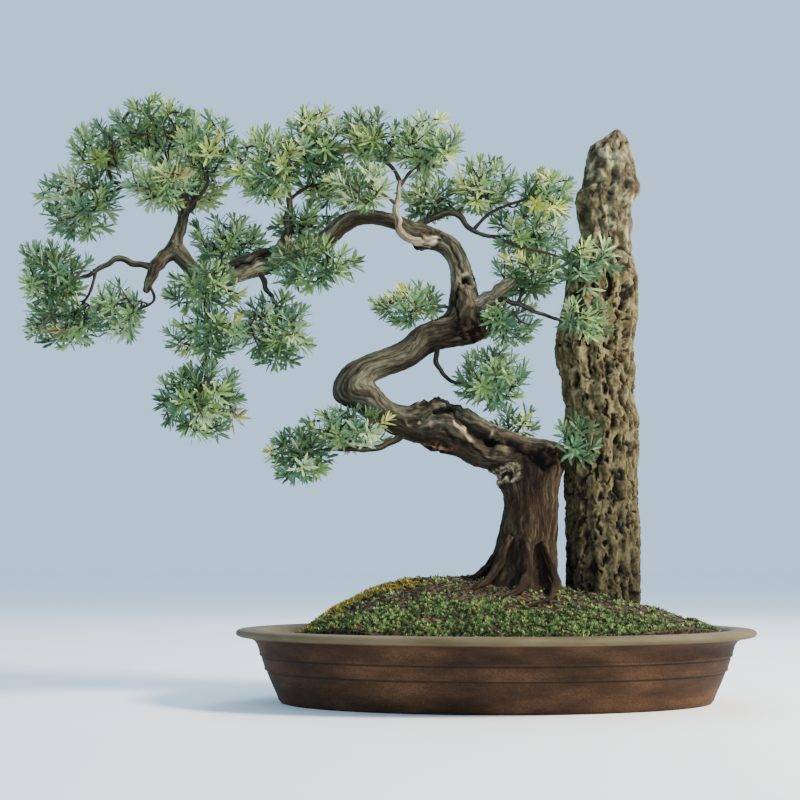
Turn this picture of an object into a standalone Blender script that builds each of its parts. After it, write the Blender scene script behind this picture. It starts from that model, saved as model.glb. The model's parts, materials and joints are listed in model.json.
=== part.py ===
"""Podocarpus bonsai on a mossy mound beside a standing stone, in an oval stoneware pot.

Metres, +Z up, +X to the right along the pot, -Y to the front.
The origin is the centre of the pot's flat underside.
"""
import math
import random
from collections import namedtuple

import bmesh
import bpy
from mathutils import Vector
from mathutils.bvhtree import BVHTree

MM = 0.001
GAP = 0.3 * MM
# Across the trunk's slanting ribs, which still leaves at least the gap above square to its side.
TRUNK_CLEARANCE = 0.5 * MM
OBJECT_NAME = "podocarpus_bonsai"
SHARP_ANGLE = math.radians(40)

# ---------------------------------------------------------------- pot and mound
POT_HALF_LENGTH = 435 * MM
POT_HALF_DEPTH = 280 * MM
POT_SEGMENTS = 28
FLOOR_THICKNESS = 16 * MM
FLOOR_FILLET = 6 * MM
# Each row is the inset from the lip's edge and the height, both in mm.
POT_OUTSIDE = [(76, 0), (72, 4), (52, 50), (37, 97), (27, 104), (7, 106), (0, 113)]
POT_INSIDE = [(5, 121), (40, 122), (50, 112), (62, 98), (84, 24)]

SOIL_LEVEL = 106 * MM
MOUND_X = -100 * MM
MOUND_RISE = 100 * MM
MOUND_LEFT = 232 * MM
MOUND_RIGHT = 500 * MM
MOUND_DEPTH = 212 * MM
SOIL_RINGS = [0.14, 0.34, 0.53, 0.7, 0.86]

# ---------------------------------------------------------------- standing stone
STONE_Y = 38 * MM
STONE_SIDES = 28
# Centre x, height, width and depth, in mm, from its foot in the soil to its top.
STONE_RIBS = [
    (188, 132, 126, 100), (188, 209, 125, 100), (189, 290, 127, 98), (186, 367, 124, 98),
    (186, 431, 127, 98), (188, 469, 128, 98), (185, 502, 119, 95), (182, 519, 124, 95),
    (182, 546, 125, 94), (180, 572, 135, 96), (178, 604, 135, 96), (181, 630, 137, 94),
    (186, 655, 135, 94), (192, 697, 125, 92), (192, 729, 124, 90), (193, 767, 108, 86),
    (198, 788, 93, 82), (200, 803, 85, 78), (200, 826, 97, 80), (198, 844, 96, 80),
    (199, 864, 101, 80), (205, 878, 109, 80), (211, 890, 100, 78), (210, 905, 91, 76),
    (211, 925, 88, 72), (210, 943, 79, 66), (211, 963, 68, 58), (219, 973, 47, 46),
    (221, 984, 26, 28), (224, 992, 11, 13),
]
# Ridges round the stone: how deep, how many, and the height over which they turn a radian.
STONE_RIDGES = [(0.035, 3, 300), (0.03, 5, -47), (0.035, 9, -150), (0.045, 14, 120)]
# The share of the ridges' depth that stays on the stone's two sides, which are smoother.
SMOOTH_SIDE_SHARE = 0.35

# ---------------------------------------------------------------- trunk
TRUNK_SIDES = 14
BARK_FLUTE = 0.05
FLUTES = 3
FLUTE_TURN_PER_M = 9
TRUNK_BASE = 160 * MM
ROOT_FLARE = 0.42
ROOT_FADE = 34 * MM
ROOT_BEARINGS = [182, 236, 284, 320, 62, 118]
ROOT_WIDTH = 24
# One rib a row: x, y, z, width across the growth, depth in Y (mm) and heading (degrees).
# The heading is the way the trunk grows there: 0 is to the right, 90 up, 180 to the left.
TRUNK = {
    "trunk_foot": [
        (44, 0, 160, 132, 128, 90),
        (48, 0, 210, 116, 108, 87),
        (54, 0, 262, 101, 96, 87),
        (60, 0, 322, 93, 90, 88),
        (59, 0, 362, 100, 90, 93),
        (52, 0, 406, 118, 90, 111),
    ],
    "trunk_reach": [
        (52, 0, 406, 118, 90, 111),
        (7, -4, 420, 94, 84, 121),
        (-45, -12, 443, 77, 74, 137),
        (-92, -16, 464, 82, 76, 156),
        (-146, -14, 467, 56, 54, 166),
        (-188, -8, 484, 49, 46, 152),
        (-216, -3, 509, 57, 46, 134),
        (-237, 0, 526, 76, 44, 111),
    ],
    "trunk_return": [
        (-237, 0, 526, 76, 44, 111),
        (-229, 2, 550, 70, 46, 80),
        (-203, 4, 566, 58, 46, 59),
        (-151, 8, 587, 48, 46, 36),
        (-114, 10, 615, 54, 52, 42),
        (-57, 10, 635, 72, 58, 51),
    ],
    "trunk_rise": [
        (-57, 10, 635, 72, 58, 51),
        (-48, 9, 667, 64, 52, 62),
        (-51, 8, 707, 45, 44, 84),
        (-59, 6, 746, 37, 38, 95),
        (-79, 4, 776, 40, 38, 122),
        (-115, 0, 790, 40, 36, 150),
        (-149, -4, 803, 34, 30, 163),
        (-168, -6, 815, 25, 25, 159),
    ],
    "trunk_arch": [
        (-168, -6, 815, 25, 25, 159),
        (-216, -6, 825, 25, 25, 184),
        (-255, -2, 816, 30, 28, 206),
        (-303, 4, 777, 35, 33, 207),
        (-370, 8, 757, 44, 40, 197),
        (-436, 4, 736, 41, 36, 200),
        (-475, 0, 719, 30, 28, 204),
        (-510, 0, 729, 27, 26, 168),
        (-546, 0, 766, 31, 28, 134),
    ],
}

# ---------------------------------------------------------------- boughs
BOUGH_SIDES = 6
BOUGH_CURVE_STEPS = 2
# Knots along a bough: how much they widen it, and how quickly they follow each other.
KNOT_SWELL = 0.06
KNOT_WAVES = 9
Bough = namedtuple("Bough", "name wood root_radius tip_radius route")
# Radii and the points of each route are in mm.
BOUGHS = [
    Bough("stump", "bark", 29, 20, [(66, 0, 400), (95, -2, 410), (117, -4, 408)]),
    Bough("fork_stub", "bark", 15.5, 8,
          [(-548, 0, 768), (-571, -8, 750), (-587, -14, 724), (-594, -16, 696)]),
    Bough("dome_bough", "bark", 13, 7,
          [(-549, 0, 772), (-544, 2, 800), (-535, 6, 830), (-526, 10, 852)]),
    Bough("dome_left_bough", "bark", 6, 3.5,
          [(-529, 9, 843), (-566, 28, 866), (-620, 36, 885), (-665, 24, 895)]),
    Bough("left_bough", "bark", 6.5, 3.8,
          [(-584, -12, 736), (-614, -20, 740), (-645, -26, 747), (-693, -24, 718)]),
    Bough("riser_bough", "bark", 9.5, 4.2,
          [(-389, 8, 754), (-360, 16, 795), (-354, 16, 860), (-362, 8, 919)]),
    Bough("pale_bough", "driftwood", 9.5, 4.8,
          [(-108, -6, 780), (-141, -20, 782), (-160, -27, 796), (-167, -28, 830), (-160, -20, 883)]),
    Bough("east_bough", "bark", 7.5, 3.6,
          [(-134, -2, 804), (-111, 10, 824), (-62, 16, 836), (-30, 10, 802), (8, 4, 792)]),
    Bough("dead_branch", "driftwood", 16, 11, [(-44, 8, 680), (-14, 2, 680), (30, -12, 710)]),
    Bough("thin_bough", "bark", 5.5, 2.8,
          [(-4, 0, 684), (31, -22, 675), (60, -42, 656), (108, -62, 636)]),
    Bough("small_drop", "bark", 5.5, 3,
          [(-89, 8, 612), (-97, -6, 586), (-84, -12, 546), (-48, -12, 530)]),
    Bough("low_bough", "bark", 7.5, 3.4,
          [(-140, -16, 458), (-170, -28, 436), (-214, -34, 420), (-271, -32, 421)]),
    Bough("drop_bough", "bark", 6, 3.6,
          [(-404, 6, 738), (-394, -4, 711), (-368, -8, 660)]),
    Bough("weep_bough", "bark", 7, 3,
          [(-488, 0, 724), (-491, -16, 670), (-489, -18, 600), (-501, -12, 534)]),
]

# ---------------------------------------------------------------- foliage
# A mass grows from a share of its parent's length, through via points, and keeps inside an
# ellipsoid of its own. The stem's radius, the points and the half sizes are in mm.
Mass = namedtuple("Mass", "name parent share radius via centre half tufts")
MASSES = [
    Mass("dome_peak", "dome_bough", 1.0, 5, [(-559, -4, 903), (-580, -6, 940)],
         (-592, -5, 988), (77, 74, 61), 4),
    Mass("dome_right", "dome_bough", 0.86, 4, [(-494, -8, 880), (-494, -14, 916)],
         (-498, -15, 948), (59, 74, 62), 3),
    Mass("dome_left", "dome_left_bough", 1.0, 3.2, [(-672, 28, 920)],
         (-683, 30, 954), (62, 74, 50), 3),
    Mass("dome_edge", "dome_left_bough", 0.84, 3.2, [(-668, 14, 872), (-694, 8, 858)],
         (-718, 8, 853), (77, 74, 66), 4),
    Mass("dome_front", "dome_bough", 0.62, 4, [(-547, -26, 840), (-561, -42, 855)],
         (-568, -68, 873), (68, 62, 54), 3),
    Mass("dome_back", "dome_bough", 0.72, 4, [(-522, 40, 856), (-529, 58, 885)],
         (-542, 84, 905), (78, 64, 54), 3),
    Mass("tip_upper", "left_bough", 1.0, 3.4, [(-724, -24, 711)],
         (-757, -25, 722), (78, 72, 58), 3),
    Mass("tip_lower", "left_bough", 0.86, 3, [(-690, -20, 690), (-709, -14, 664)],
         (-735, -10, 641), (79, 72, 46), 3),
    Mass("sling", "fork_stub", 0.86, 3, [(-578, -32, 675), (-608, -42, 658)],
         (-636, -45, 652), (46, 72, 56), 2),
    Mass("limb_back", "trunk_arch", 0.8, 4, [(-465, 30, 782)],
         (-469, 56, 797), (77, 64, 49), 2),
    Mass("limb_front", "trunk_arch", 0.88, 4, [(-493, -38, 700)],
         (-488, -76, 687), (71, 62, 47), 2),
    Mass("riser_foot", "riser_bough", 0.42, 3.6, [(-338, 24, 816)],
         (-330, 48, 824), (67, 64, 42), 2),
    Mass("riser_left", "riser_bough", 1.0, 3.8, [(-376, 0, 935)],
         (-392, -15, 913), (69, 72, 69), 3),
    Mass("riser_top", "riser_bough", 0.88, 3.6, [(-334, 4, 929), (-314, 4, 950)],
         (-303, 5, 961), (66, 72, 63), 3),
    Mass("riser_back", "riser_bough", 0.66, 3.6, [(-329, 36, 885), (-300, 50, 900)],
         (-276, 78, 908), (75, 64, 50), 2),
    Mass("drop", "drop_bough", 1.0, 3.4, [(-366, -8, 640)],
         (-374, -10, 627), (72, 72, 68), 3),
    Mass("weep_heart", "weep_bough", 0.42, 3.2, [(-482, -36, 630)],
         (-482, -60, 614), (78, 62, 48), 2),
    Mass("weep_low", "weep_bough", 1.0, 3, [(-504, -12, 515)],
         (-495, -10, 506), (85, 72, 72), 4),
    Mass("arch_under", "trunk_arch", 0.5, 3.8, [(-312, -32, 742)],
         (-306, -64, 731), (85, 62, 51), 3),
    Mass("arch_top", "pale_bough", 1.0, 4.2, [(-172, -14, 908), (-203, 2, 940)],
         (-216, 5, 965), (63, 72, 57), 3),
    Mass("arch_front", "pale_bough", 0.72, 3.4, [(-188, -42, 855)],
         (-225, -70, 861), (66, 62, 42), 2),
    Mass("arch_right", "pale_bough", 0.93, 3.6, [(-142, -16, 902), (-124, -10, 920)],
         (-111, -5, 951), (63, 72, 59), 3),
    Mass("bridge", "east_bough", 0.3, 3.5, [(-98, 26, 850)],
         (-104, 52, 872), (67, 64, 42), 2),
    Mass("east_high", "east_bough", 0.5, 3.5, [(-38, 12, 858)],
         (-14, 5, 884), (63, 72, 52), 3),
    Mass("east_top", "east_bough", 0.74, 3.4, [(0, -2, 835), (65, -8, 858)],
         (96, -8, 861), (59, 72, 48), 2),
    Mass("east_mid", "east_bough", 1.0, 3.2, [(36, 8, 796)],
         (63, 12, 804), (73, 72, 45), 3),
    Mass("east_low", "thin_bough", 0.4, 3.2, [(54, -6, 700)],
         (60, 14, 732), (62, 72, 52), 3),
    Mass("east_under", "trunk_rise", 0.14, 3.6, [(0, 14, 656)],
         (30, 12, 645), (59, 72, 42), 2),
    Mass("stone_high", "east_bough", 0.93, 3.2, [(46, -26, 768), (105, -58, 745)],
         (155, -76, 730), (56, 38, 57), 2),
    Mass("stone_low", "thin_bough", 1.0, 2.6, [(127, -70, 633)],
         (150, -80, 637), (53, 38, 43), 2),
    Mass("knuckle", "trunk_rise", 0.12, 3.6, [(-108, -8, 672)],
         (-146, -8, 672), (65, 72, 42), 3),
    Mass("pendant", "small_drop", 1.0, 2.8, [(-26, -12, 534)],
         (-3, -12, 546), (68, 72, 58), 3),
    Mass("low_tip", "low_bough", 1.0, 3.2, [(-298, -34, 418)],
         (-328, -35, 411), (60, 72, 50), 3),
    Mass("low_mid", "low_bough", 0.72, 3.2, [(-250, -30, 440)],
         (-246, -28, 455), (86, 72, 41), 2),
    Mass("behind", "trunk_reach", 0.12, 3.6, [(27, 40, 460)],
         (36, 52, 474), (49, 44, 38), 2),
    Mass("sprout", "stump", 0.9, 3.4, [(124, -38, 420)],
         (134, -60, 434), (42, 44, 47), 2),
]
FOLIAGE_PREFIX = "leaves_"
TWIG_SIDES = 3
TWIG_TIP_RADIUS = 2.6 * MM
TIP_REACH = 0.56
TIP_CANDIDATES = 40
SPACE_MARGIN = 0.05
LIMB_CLEARANCE = 9 * MM
PATH_WEIGHT = 0.4
LEADER_NODES = (0.42, 0.55, 0.68, 0.81)
TWIG_NODES = (0.36, 0.68)
TWIG_ROOT_SHARE = 0.7
LEAVES_A_TUFT = 5
LEAF_LENGTH = 50 * MM
LEAF_WIDTH = 15 * MM
LEAF_THICKNESS = 2.6 * MM
LEAF_WIDEST = 0.34
LEAF_BOW = 0.05
LEAF_SPACING = 4 * MM
LEAF_ROOT_START = 0.6
LEAF_CHECKS = (1.0, 0.6)
LEAF_SHARES = (1.0, 0.84, 0.68, 0.56)
LEAF_SPLAY = (math.radians(14), math.radians(98))
GOLDEN_ANGLE = math.radians(137.5)
SOLVERS = ("EXACT", "MANIFOLD")

# ---------------------------------------------------------------- colours
COLOURS = {
    "stoneware": ("5C463D", 0.62),
    "moss_soil": ("565A2C", 0.95),
    "stone": ("8A7B63", 0.9),
    "bark": ("6A5F55", 0.85),
    "driftwood": ("A2947F", 0.75),
    "leaf": ("4C6B45", 0.45),
}


# ---------------------------------------------------------------- scene and materials
def clear_scene():
    for item in list(bpy.data.objects):
        bpy.data.objects.remove(item, do_unlink=True)


def new_collection(name):
    collection = bpy.data.collections.new(name)
    bpy.context.scene.collection.children.link(collection)
    return collection


def linear(channel):
    return channel / 12.92 if channel <= 0.04045 else ((channel + 0.055) / 1.055) ** 2.4


def finish_material(kind):
    """The Principled material of one kind of surface, made once."""
    if kind in bpy.data.materials:
        return bpy.data.materials[kind]
    code, roughness = COLOURS[kind]
    rgb = [linear(int(code[i:i + 2], 16) / 255) for i in (0, 2, 4)]
    material = bpy.data.materials.new(kind)
    material.use_nodes = True
    shader = material.node_tree.nodes["Principled BSDF"]
    shader.inputs["Base Color"].default_value = (*rgb, 1)
    shader.inputs["Roughness"].default_value = roughness
    shader.inputs["Metallic"].default_value = 0
    return material


def mm(values):
    return Vector(values) * MM


# ---------------------------------------------------------------- mesh building
def loft(rings):
    """A closed mesh through rings of equal length, capped at both ends.

    Each square is split along the same diagonal, so that a grown copy has the same facets.
    """
    shape = bmesh.new()
    loops = [[shape.verts.new(point) for point in ring] for ring in rings]
    count = len(loops[0])
    for low, high in zip(loops, loops[1:]):
        for i in range(count):
            j = (i + 1) % count
            shape.faces.new((low[i], low[j], high[j]))
            shape.faces.new((low[i], high[j], high[i]))
    shape.faces.new(reversed(loops[0]))
    shape.faces.new(loops[-1])
    return close_mesh(shape)


def close_mesh(shape):
    bmesh.ops.recalc_face_normals(shape, faces=shape.faces)
    bmesh.ops.triangulate(shape, faces=shape.faces)
    mesh = bpy.data.meshes.new("mesh")
    shape.to_mesh(mesh)
    shape.free()
    return mesh


def add_object(name, mesh, kind, collection):
    item = bpy.data.objects.new(name, mesh)
    mesh.name = name
    mesh.materials.clear()
    mesh.materials.append(finish_material(kind))
    collection.objects.link(item)
    return item


def add_cutter(mesh, collection):
    cutter = bpy.data.objects.new("cutter", mesh)
    cutter.display_type = "WIRE"
    cutter.hide_render = True
    collection.objects.link(cutter)
    return cutter


def remove_objects(items):
    for item in items:
        mesh = item.data
        bpy.data.objects.remove(item, do_unlink=True)
        if mesh.users == 0:
            bpy.data.meshes.remove(mesh)


def apply_modifiers(item):
    """Swaps the object's mesh for its evaluated one and clears the modifiers."""
    bpy.context.view_layer.update()
    evaluated = item.evaluated_get(bpy.context.evaluated_depsgraph_get())
    mesh = bpy.data.meshes.new_from_object(evaluated)
    old = item.data
    item.modifiers.clear()
    item.data = mesh
    bpy.data.meshes.remove(old)
    mesh.name = item.name


def cut_clear(item, meshes, cutters):
    """Takes grown copies of the neighbours out of an object."""
    tools = [add_cutter(mesh, cutters) for mesh in meshes]
    for tool in tools:
        cut = item.modifiers.new("clear", "BOOLEAN")
        cut.operation = "DIFFERENCE"
        cut.solver = "EXACT"
        cut.object = tool
    apply_modifiers(item)
    remove_objects(tools)
    keep_largest_body(item)


def keep_largest_body(item):
    """Drops loose scraps that a cut has left, so that one body stays."""
    shape = bmesh.new()
    shape.from_mesh(item.data)
    waiting = set(shape.faces)
    bodies = []
    while waiting:
        front = [waiting.pop()]
        body = list(front)
        while front:
            face = front.pop()
            near = {other for edge in face.edges for other in edge.link_faces} & waiting
            waiting -= near
            front += near
            body += near
        bodies.append(body)
    bodies.sort(key=len)
    for scrap in bodies[:-1]:
        bmesh.ops.delete(shape, geom=scrap, context="FACES")
    loose = [vertex for vertex in shape.verts if not vertex.link_faces]
    bmesh.ops.delete(shape, geom=loose, context="VERTS")
    bmesh.ops.triangulate(shape, faces=shape.faces)
    shape.to_mesh(item.data)
    shape.free()


def shade_round(item):
    item.data.shade_smooth()
    item.data.set_sharp_from_angle(angle=SHARP_ANGLE)


# ---------------------------------------------------------------- curves and limbs
def smooth_route(points, steps):
    """Points along a Catmull-Rom curve through the given ones."""
    ends = [2 * points[0] - points[1]] + points + [2 * points[-1] - points[-2]]
    route = []
    for a, b, c, d in zip(ends, ends[1:], ends[2:], ends[3:]):
        for step in range(steps):
            t = step / steps
            route.append(0.5 * (2 * b + (c - a) * t + (2 * a - 5 * b + 4 * c - d) * t ** 2
                                + (3 * b - a - 3 * c + d) * t ** 3))
    return route + [points[-1]]


def directions(route):
    ends = [route[0]] + route + [route[-1]]
    return [(after - before).normalized() for before, after in zip(ends, ends[2:])]


def lengths_along(route):
    total = [0.0]
    for a, b in zip(route, route[1:]):
        total.append(total[-1] + (b - a).length)
    return total


def point_at(route, share):
    """The point a share of the way along a route."""
    along = lengths_along(route)
    target = share * along[-1]
    for i in range(len(route) - 1):
        if along[i + 1] >= target:
            return route[i].lerp(route[i + 1], (target - along[i]) / (along[i + 1] - along[i]))
    return route[-1].copy()


def round_tube(route, radii, sides, turn=0.0):
    """A tapering tube whose cross axes are carried along the route without twist."""
    across = Vector((0, 1, 0))
    rings = []
    for point, along, radius in zip(route, directions(route), radii):
        across = across - along * across.dot(along)
        if across.length < 0.1:
            across = along.orthogonal()
        across.normalize()
        other = along.cross(across)
        ring = []
        for i in range(sides):
            angle = turn + 2 * math.pi * i / sides
            ring.append(point + radius * (math.cos(angle) * across + math.sin(angle) * other))
        rings.append(ring)
    return loft(rings)


def grown_ends(route, extra):
    """The route made longer by extra at both ends."""
    first = route[0] + (route[0] - route[1]).normalized() * extra
    last = route[-1] + (route[-1] - route[-2]).normalized() * extra
    return [first] + route[1:-1] + [last]


def bough_route(bough):
    return smooth_route([mm(point) for point in bough.route], BOUGH_CURVE_STEPS)


def bough_mesh(bough, extra=0.0):
    route = bough_route(bough)
    along = lengths_along(route)
    radii = []
    for distance in along:
        share = distance / along[-1]
        swell = 1 + KNOT_SWELL * math.sin(KNOT_WAVES * share + len(bough.name))
        radius = bough.root_radius + (bough.tip_radius - bough.root_radius) * share
        radii.append(radius * swell * MM + extra)
    return round_tube(grown_ends(route, extra) if extra else route, radii, BOUGH_SIDES)


# ---------------------------------------------------------------- trunk
def rib_axes(heading):
    angle = math.radians(heading)
    growth = Vector((math.cos(angle), 0, math.sin(angle)))
    right = Vector((math.sin(angle), 0, -math.cos(angle)))
    return growth, right


def root_swell(angle, height):
    """How far the root flare widens the trunk's foot at one bearing and height."""
    fade = math.exp(-(height - TRUNK_BASE) / ROOT_FADE)
    bearing = math.degrees(angle) % 360
    lobe = 0.0
    for root in ROOT_BEARINGS:
        apart = abs((bearing - root + 180) % 360 - 180)
        lobe = max(lobe, math.exp(-(apart / ROOT_WIDTH) ** 2))
    return ROOT_FLARE * fade * lobe


def trunk_ring(rib, travelled, extra):
    """One ring of the trunk: an ellipse with shallow flutes that wind slowly round it."""
    x, y, z, width, depth, heading = rib
    centre = mm((x, y, z))
    right = rib_axes(heading)[1]
    ring = []
    for i in range(TRUNK_SIDES):
        angle = 2 * math.pi * i / TRUNK_SIDES
        flute = 1 + BARK_FLUTE * math.sin(FLUTES * angle + travelled * FLUTE_TURN_PER_M)
        flute += root_swell(angle, centre.z)
        across = right * math.cos(angle) * (width * MM / 2 * flute + extra)
        deep = Vector((0, 1, 0)) * math.sin(angle) * (depth * MM / 2 * flute + extra)
        ring.append(centre + across + deep)
    return ring


def trunk_travel():
    """The length of trunk below each section, so that flutes run on past a seam."""
    travel = {}
    total = 0.0
    for name, ribs in TRUNK.items():
        travel[name] = total
        total += lengths_along([mm(rib[:3]) for rib in ribs])[-1]
    return travel


def moved(ring, offset):
    return [point + offset for point in ring]


def trunk_mesh(name, extra=0.0):
    """One section. Half the seam's gap is taken off each end, but not off the flat foot."""
    ribs = TRUNK[name]
    start = trunk_travel()[name]
    along = lengths_along([mm(rib[:3]) for rib in ribs])
    rings = [trunk_ring(rib, start + distance, extra) for rib, distance in zip(ribs, along)]
    first_growth = rib_axes(ribs[0][5])[0]
    last_growth = rib_axes(ribs[-1][5])[0]
    if name != "trunk_foot":
        rings[0] = moved(rings[0], first_growth * GAP / 2)
    rings[-1] = moved(rings[-1], -last_growth * GAP / 2)
    if extra:
        rings.insert(0, moved(rings[0], -first_growth * extra))
        rings.append(moved(rings[-1], last_growth * extra))
    return loft(rings)


def trunk_route(name):
    return [mm(rib[:3]) for rib in TRUNK[name]]


# ---------------------------------------------------------------- pot, mound and stone
def oval(inset, height, segments=POT_SEGMENTS):
    ring = []
    for i in range(segments):
        angle = 2 * math.pi * i / segments
        ring.append(Vector(((POT_HALF_LENGTH - inset) * math.cos(angle),
                            (POT_HALF_DEPTH - inset) * math.sin(angle), height)))
    return ring


def pot_mesh():
    rings = [oval(inset * MM, height * MM) for inset, height in POT_OUTSIDE + POT_INSIDE]
    rings.append(oval(POT_INSIDE[-1][0] * MM + FLOOR_FILLET, FLOOR_THICKNESS))
    return loft(rings)


def inner_inset(height):
    """The pot's inner wall at a height, as an inset from the lip's edge."""
    wall = [(inset * MM, z * MM) for inset, z in POT_INSIDE]
    for (upper_inset, upper), (lower_inset, lower) in zip(wall, wall[1:]):
        if lower <= height <= upper:
            return lower_inset + (upper_inset - lower_inset) * (height - lower) / (upper - lower)
    return wall[-1][0]


def mound_height(x, y):
    side = MOUND_LEFT if x < MOUND_X else MOUND_RIGHT
    along = max(0.0, 1 - ((x - MOUND_X) / side) ** 2)
    across = max(0.0, 1 - (y / MOUND_DEPTH) ** 2)
    return SOIL_LEVEL + MOUND_RISE * along * across


def soil_mesh():
    """The mound, from its top down to its edge, and then down the pot's inner wall to the floor."""
    edge = oval(inner_inset(SOIL_LEVEL) + GAP, SOIL_LEVEL)
    rings = []
    for share in SOIL_RINGS:
        flat = [point * share for point in edge]
        rings.append([Vector((point.x, point.y, mound_height(point.x, point.y))) for point in flat])
    rings.append(edge)
    for inset, height in POT_INSIDE[-2:]:
        rings.append(oval(inset * MM + GAP, height * MM + GAP))
    rings.append(oval(POT_INSIDE[-1][0] * MM + FLOOR_FILLET + GAP, FLOOR_THICKNESS + GAP))
    return loft(rings)


def stone_swell(angle, z):
    """How far ridges and flutes widen the stone at one bearing and height, as a share."""
    depth = sum(size * math.sin(count * angle + z / turn) for size, count, turn in STONE_RIDGES)
    return depth * (SMOOTH_SIDE_SHARE + (1 - SMOOTH_SIDE_SHARE) * abs(math.sin(angle)))


def stone_ring(rib, extra):
    x, z, width, depth = rib
    ring = []
    for i in range(STONE_SIDES):
        angle = 2 * math.pi * i / STONE_SIDES
        swell = 1 + stone_swell(angle, z)
        across = math.cos(angle) * (width / 2 * MM * swell + extra)
        deep = math.sin(angle) * (depth / 2 * MM * swell + extra)
        ring.append(Vector((x * MM + across, STONE_Y + deep, z * MM)))
    return ring


def stone_mesh(extra=0.0):
    rings = [stone_ring(rib, extra) for rib in STONE_RIBS]
    rings[0] = moved(rings[0], Vector((0, 0, -extra)))
    rings[-1] = moved(rings[-1], Vector((0, 0, extra)))
    return loft(rings)


# ---------------------------------------------------------------- obstacles
Obstacle = namedtuple("Obstacle", "name tree low high")


def mesh_tree(mesh):
    points = [vertex.co.copy() for vertex in mesh.vertices]
    return BVHTree.FromPolygons(points, [tuple(face.vertices) for face in mesh.polygons])


def mesh_box(mesh):
    low = Vector([min(vertex.co[axis] for vertex in mesh.vertices) for axis in range(3)])
    high = Vector([max(vertex.co[axis] for vertex in mesh.vertices) for axis in range(3)])
    return low, high


def obstacle(name, mesh):
    return Obstacle(name, mesh_tree(mesh), *mesh_box(mesh))


def boxes_meet(low, high, other, room=0.0):
    return all(low[axis] - room <= other.high[axis] and high[axis] + room >= other.low[axis]
               for axis in range(3))


def touches(mesh, obstacles):
    low, high = mesh_box(mesh)
    near = [other for other in obstacles if boxes_meet(low, high, other)]
    if not near:
        return False
    tree = mesh_tree(mesh)
    return any(tree.overlap(other.tree) for other in near)


def clear_of(point, obstacles, room):
    for other in obstacles:
        if boxes_meet(point, point, other, room):
            found, normal, _, distance = other.tree.find_nearest(point)
            if distance < room or (point - found).dot(normal) < 0:
                return False
    return True


# ---------------------------------------------------------------- foliage
def reach_in(mass, point):
    """Distance from a mass's centre, where 1 is the surface of its ellipsoid."""
    offset = point - mm(mass.centre)
    return math.sqrt(sum((offset[axis] / (mass.half[axis] * MM)) ** 2 for axis in range(3)))


def in_space(mass, point):
    own = reach_in(mass, point)
    if own > 1:
        return False
    return all(own + SPACE_MARGIN < reach_in(other, point) for other in MASSES if other is not mass)


def random_tip(mass, rng):
    bearing = rng.uniform(0, 2 * math.pi)
    lift = rng.uniform(-1, 1)
    level = math.sqrt(1 - lift * lift)
    reach = TIP_REACH * rng.random() ** (1 / 3)
    offset = (reach * level * math.cos(bearing), reach * level * math.sin(bearing), reach * lift)
    return mm([mass.centre[axis] + mass.half[axis] * offset[axis] for axis in range(3)])


def choose_tips(mass, rng, obstacles):
    """Tips spread evenly through the mass: each new one is the candidate with most room."""
    tips = []
    for _ in range(mass.tufts):
        best = None
        best_room = 0.0
        for _ in range(TIP_CANDIDATES):
            point = random_tip(mass, rng)
            room = min([(point - tip).length for tip in tips] + [1.0])
            if room > best_room and in_space(mass, point) and clear_of(point, obstacles, LIMB_CLEARANCE):
                best = point
                best_room = room
        if best is not None:
            tips.append(best)
    return tips


def stem_start(mass, routes):
    """Where a stem starts: clear of its bough's tip, or on the axis where it leaves a side."""
    parent = routes[mass.parent]
    start = point_at(parent, mass.share)
    if mass.share == 1.0:
        start = start + (parent[-1] - parent[-2]).normalized() * GAP
    return start


def leader_route(mass, routes, tips):
    """The stem, past its hub and on to the tip that it points at best."""
    via = [mm(point) for point in mass.via]
    start = stem_start(mass, routes)
    onward = (via[-1] - (via[-2] if len(via) > 1 else start)).normalized()
    leader_tip = max(tips, key=lambda tip: (tip - via[-1]).normalized().dot(onward))
    tips.remove(leader_tip)
    return smooth_route([start] + via + [leader_tip], 1 if len(via) > 1 else 2)


def nodes_on(route, before, shares):
    """Places that a twig may grow from, each with its distance back to the stem's root."""
    length = lengths_along(route)[-1]
    return [(point_at(route, share), before + share * length) for share in shares]


def taper_mesh(route, root_radius, turn):
    """A three-sided stem or twig, tapering from its root to its tip."""
    along = lengths_along(route)
    radii = [root_radius + (TWIG_TIP_RADIUS - root_radius) * distance / along[-1] for distance in along]
    return round_tube(route, radii, TWIG_SIDES, turn)


def leaf_mesh(root, aim, normal, length):
    """A leaf blade of eight faces: a point at each end and four corners at its widest."""
    side = aim.cross(normal).normalized()
    face = side.cross(aim).normalized()
    waist = root + aim * length * LEAF_WIDEST + face * length * LEAF_BOW
    tip = root + aim * length
    half_width = side * LEAF_WIDTH / 2
    half_thick = face * LEAF_THICKNESS / 2
    corners = [waist - half_width, waist - half_thick, waist + half_width, waist + half_thick]
    shape = bmesh.new()
    ends = [shape.verts.new(root), shape.verts.new(tip)]
    middle = [shape.verts.new(corner) for corner in corners]
    for i in range(4):
        j = (i + 1) % 4
        shape.faces.new((ends[0], middle[i], middle[j]))
        shape.faces.new((middle[i], ends[1], middle[j]))
    return close_mesh(shape)


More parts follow.
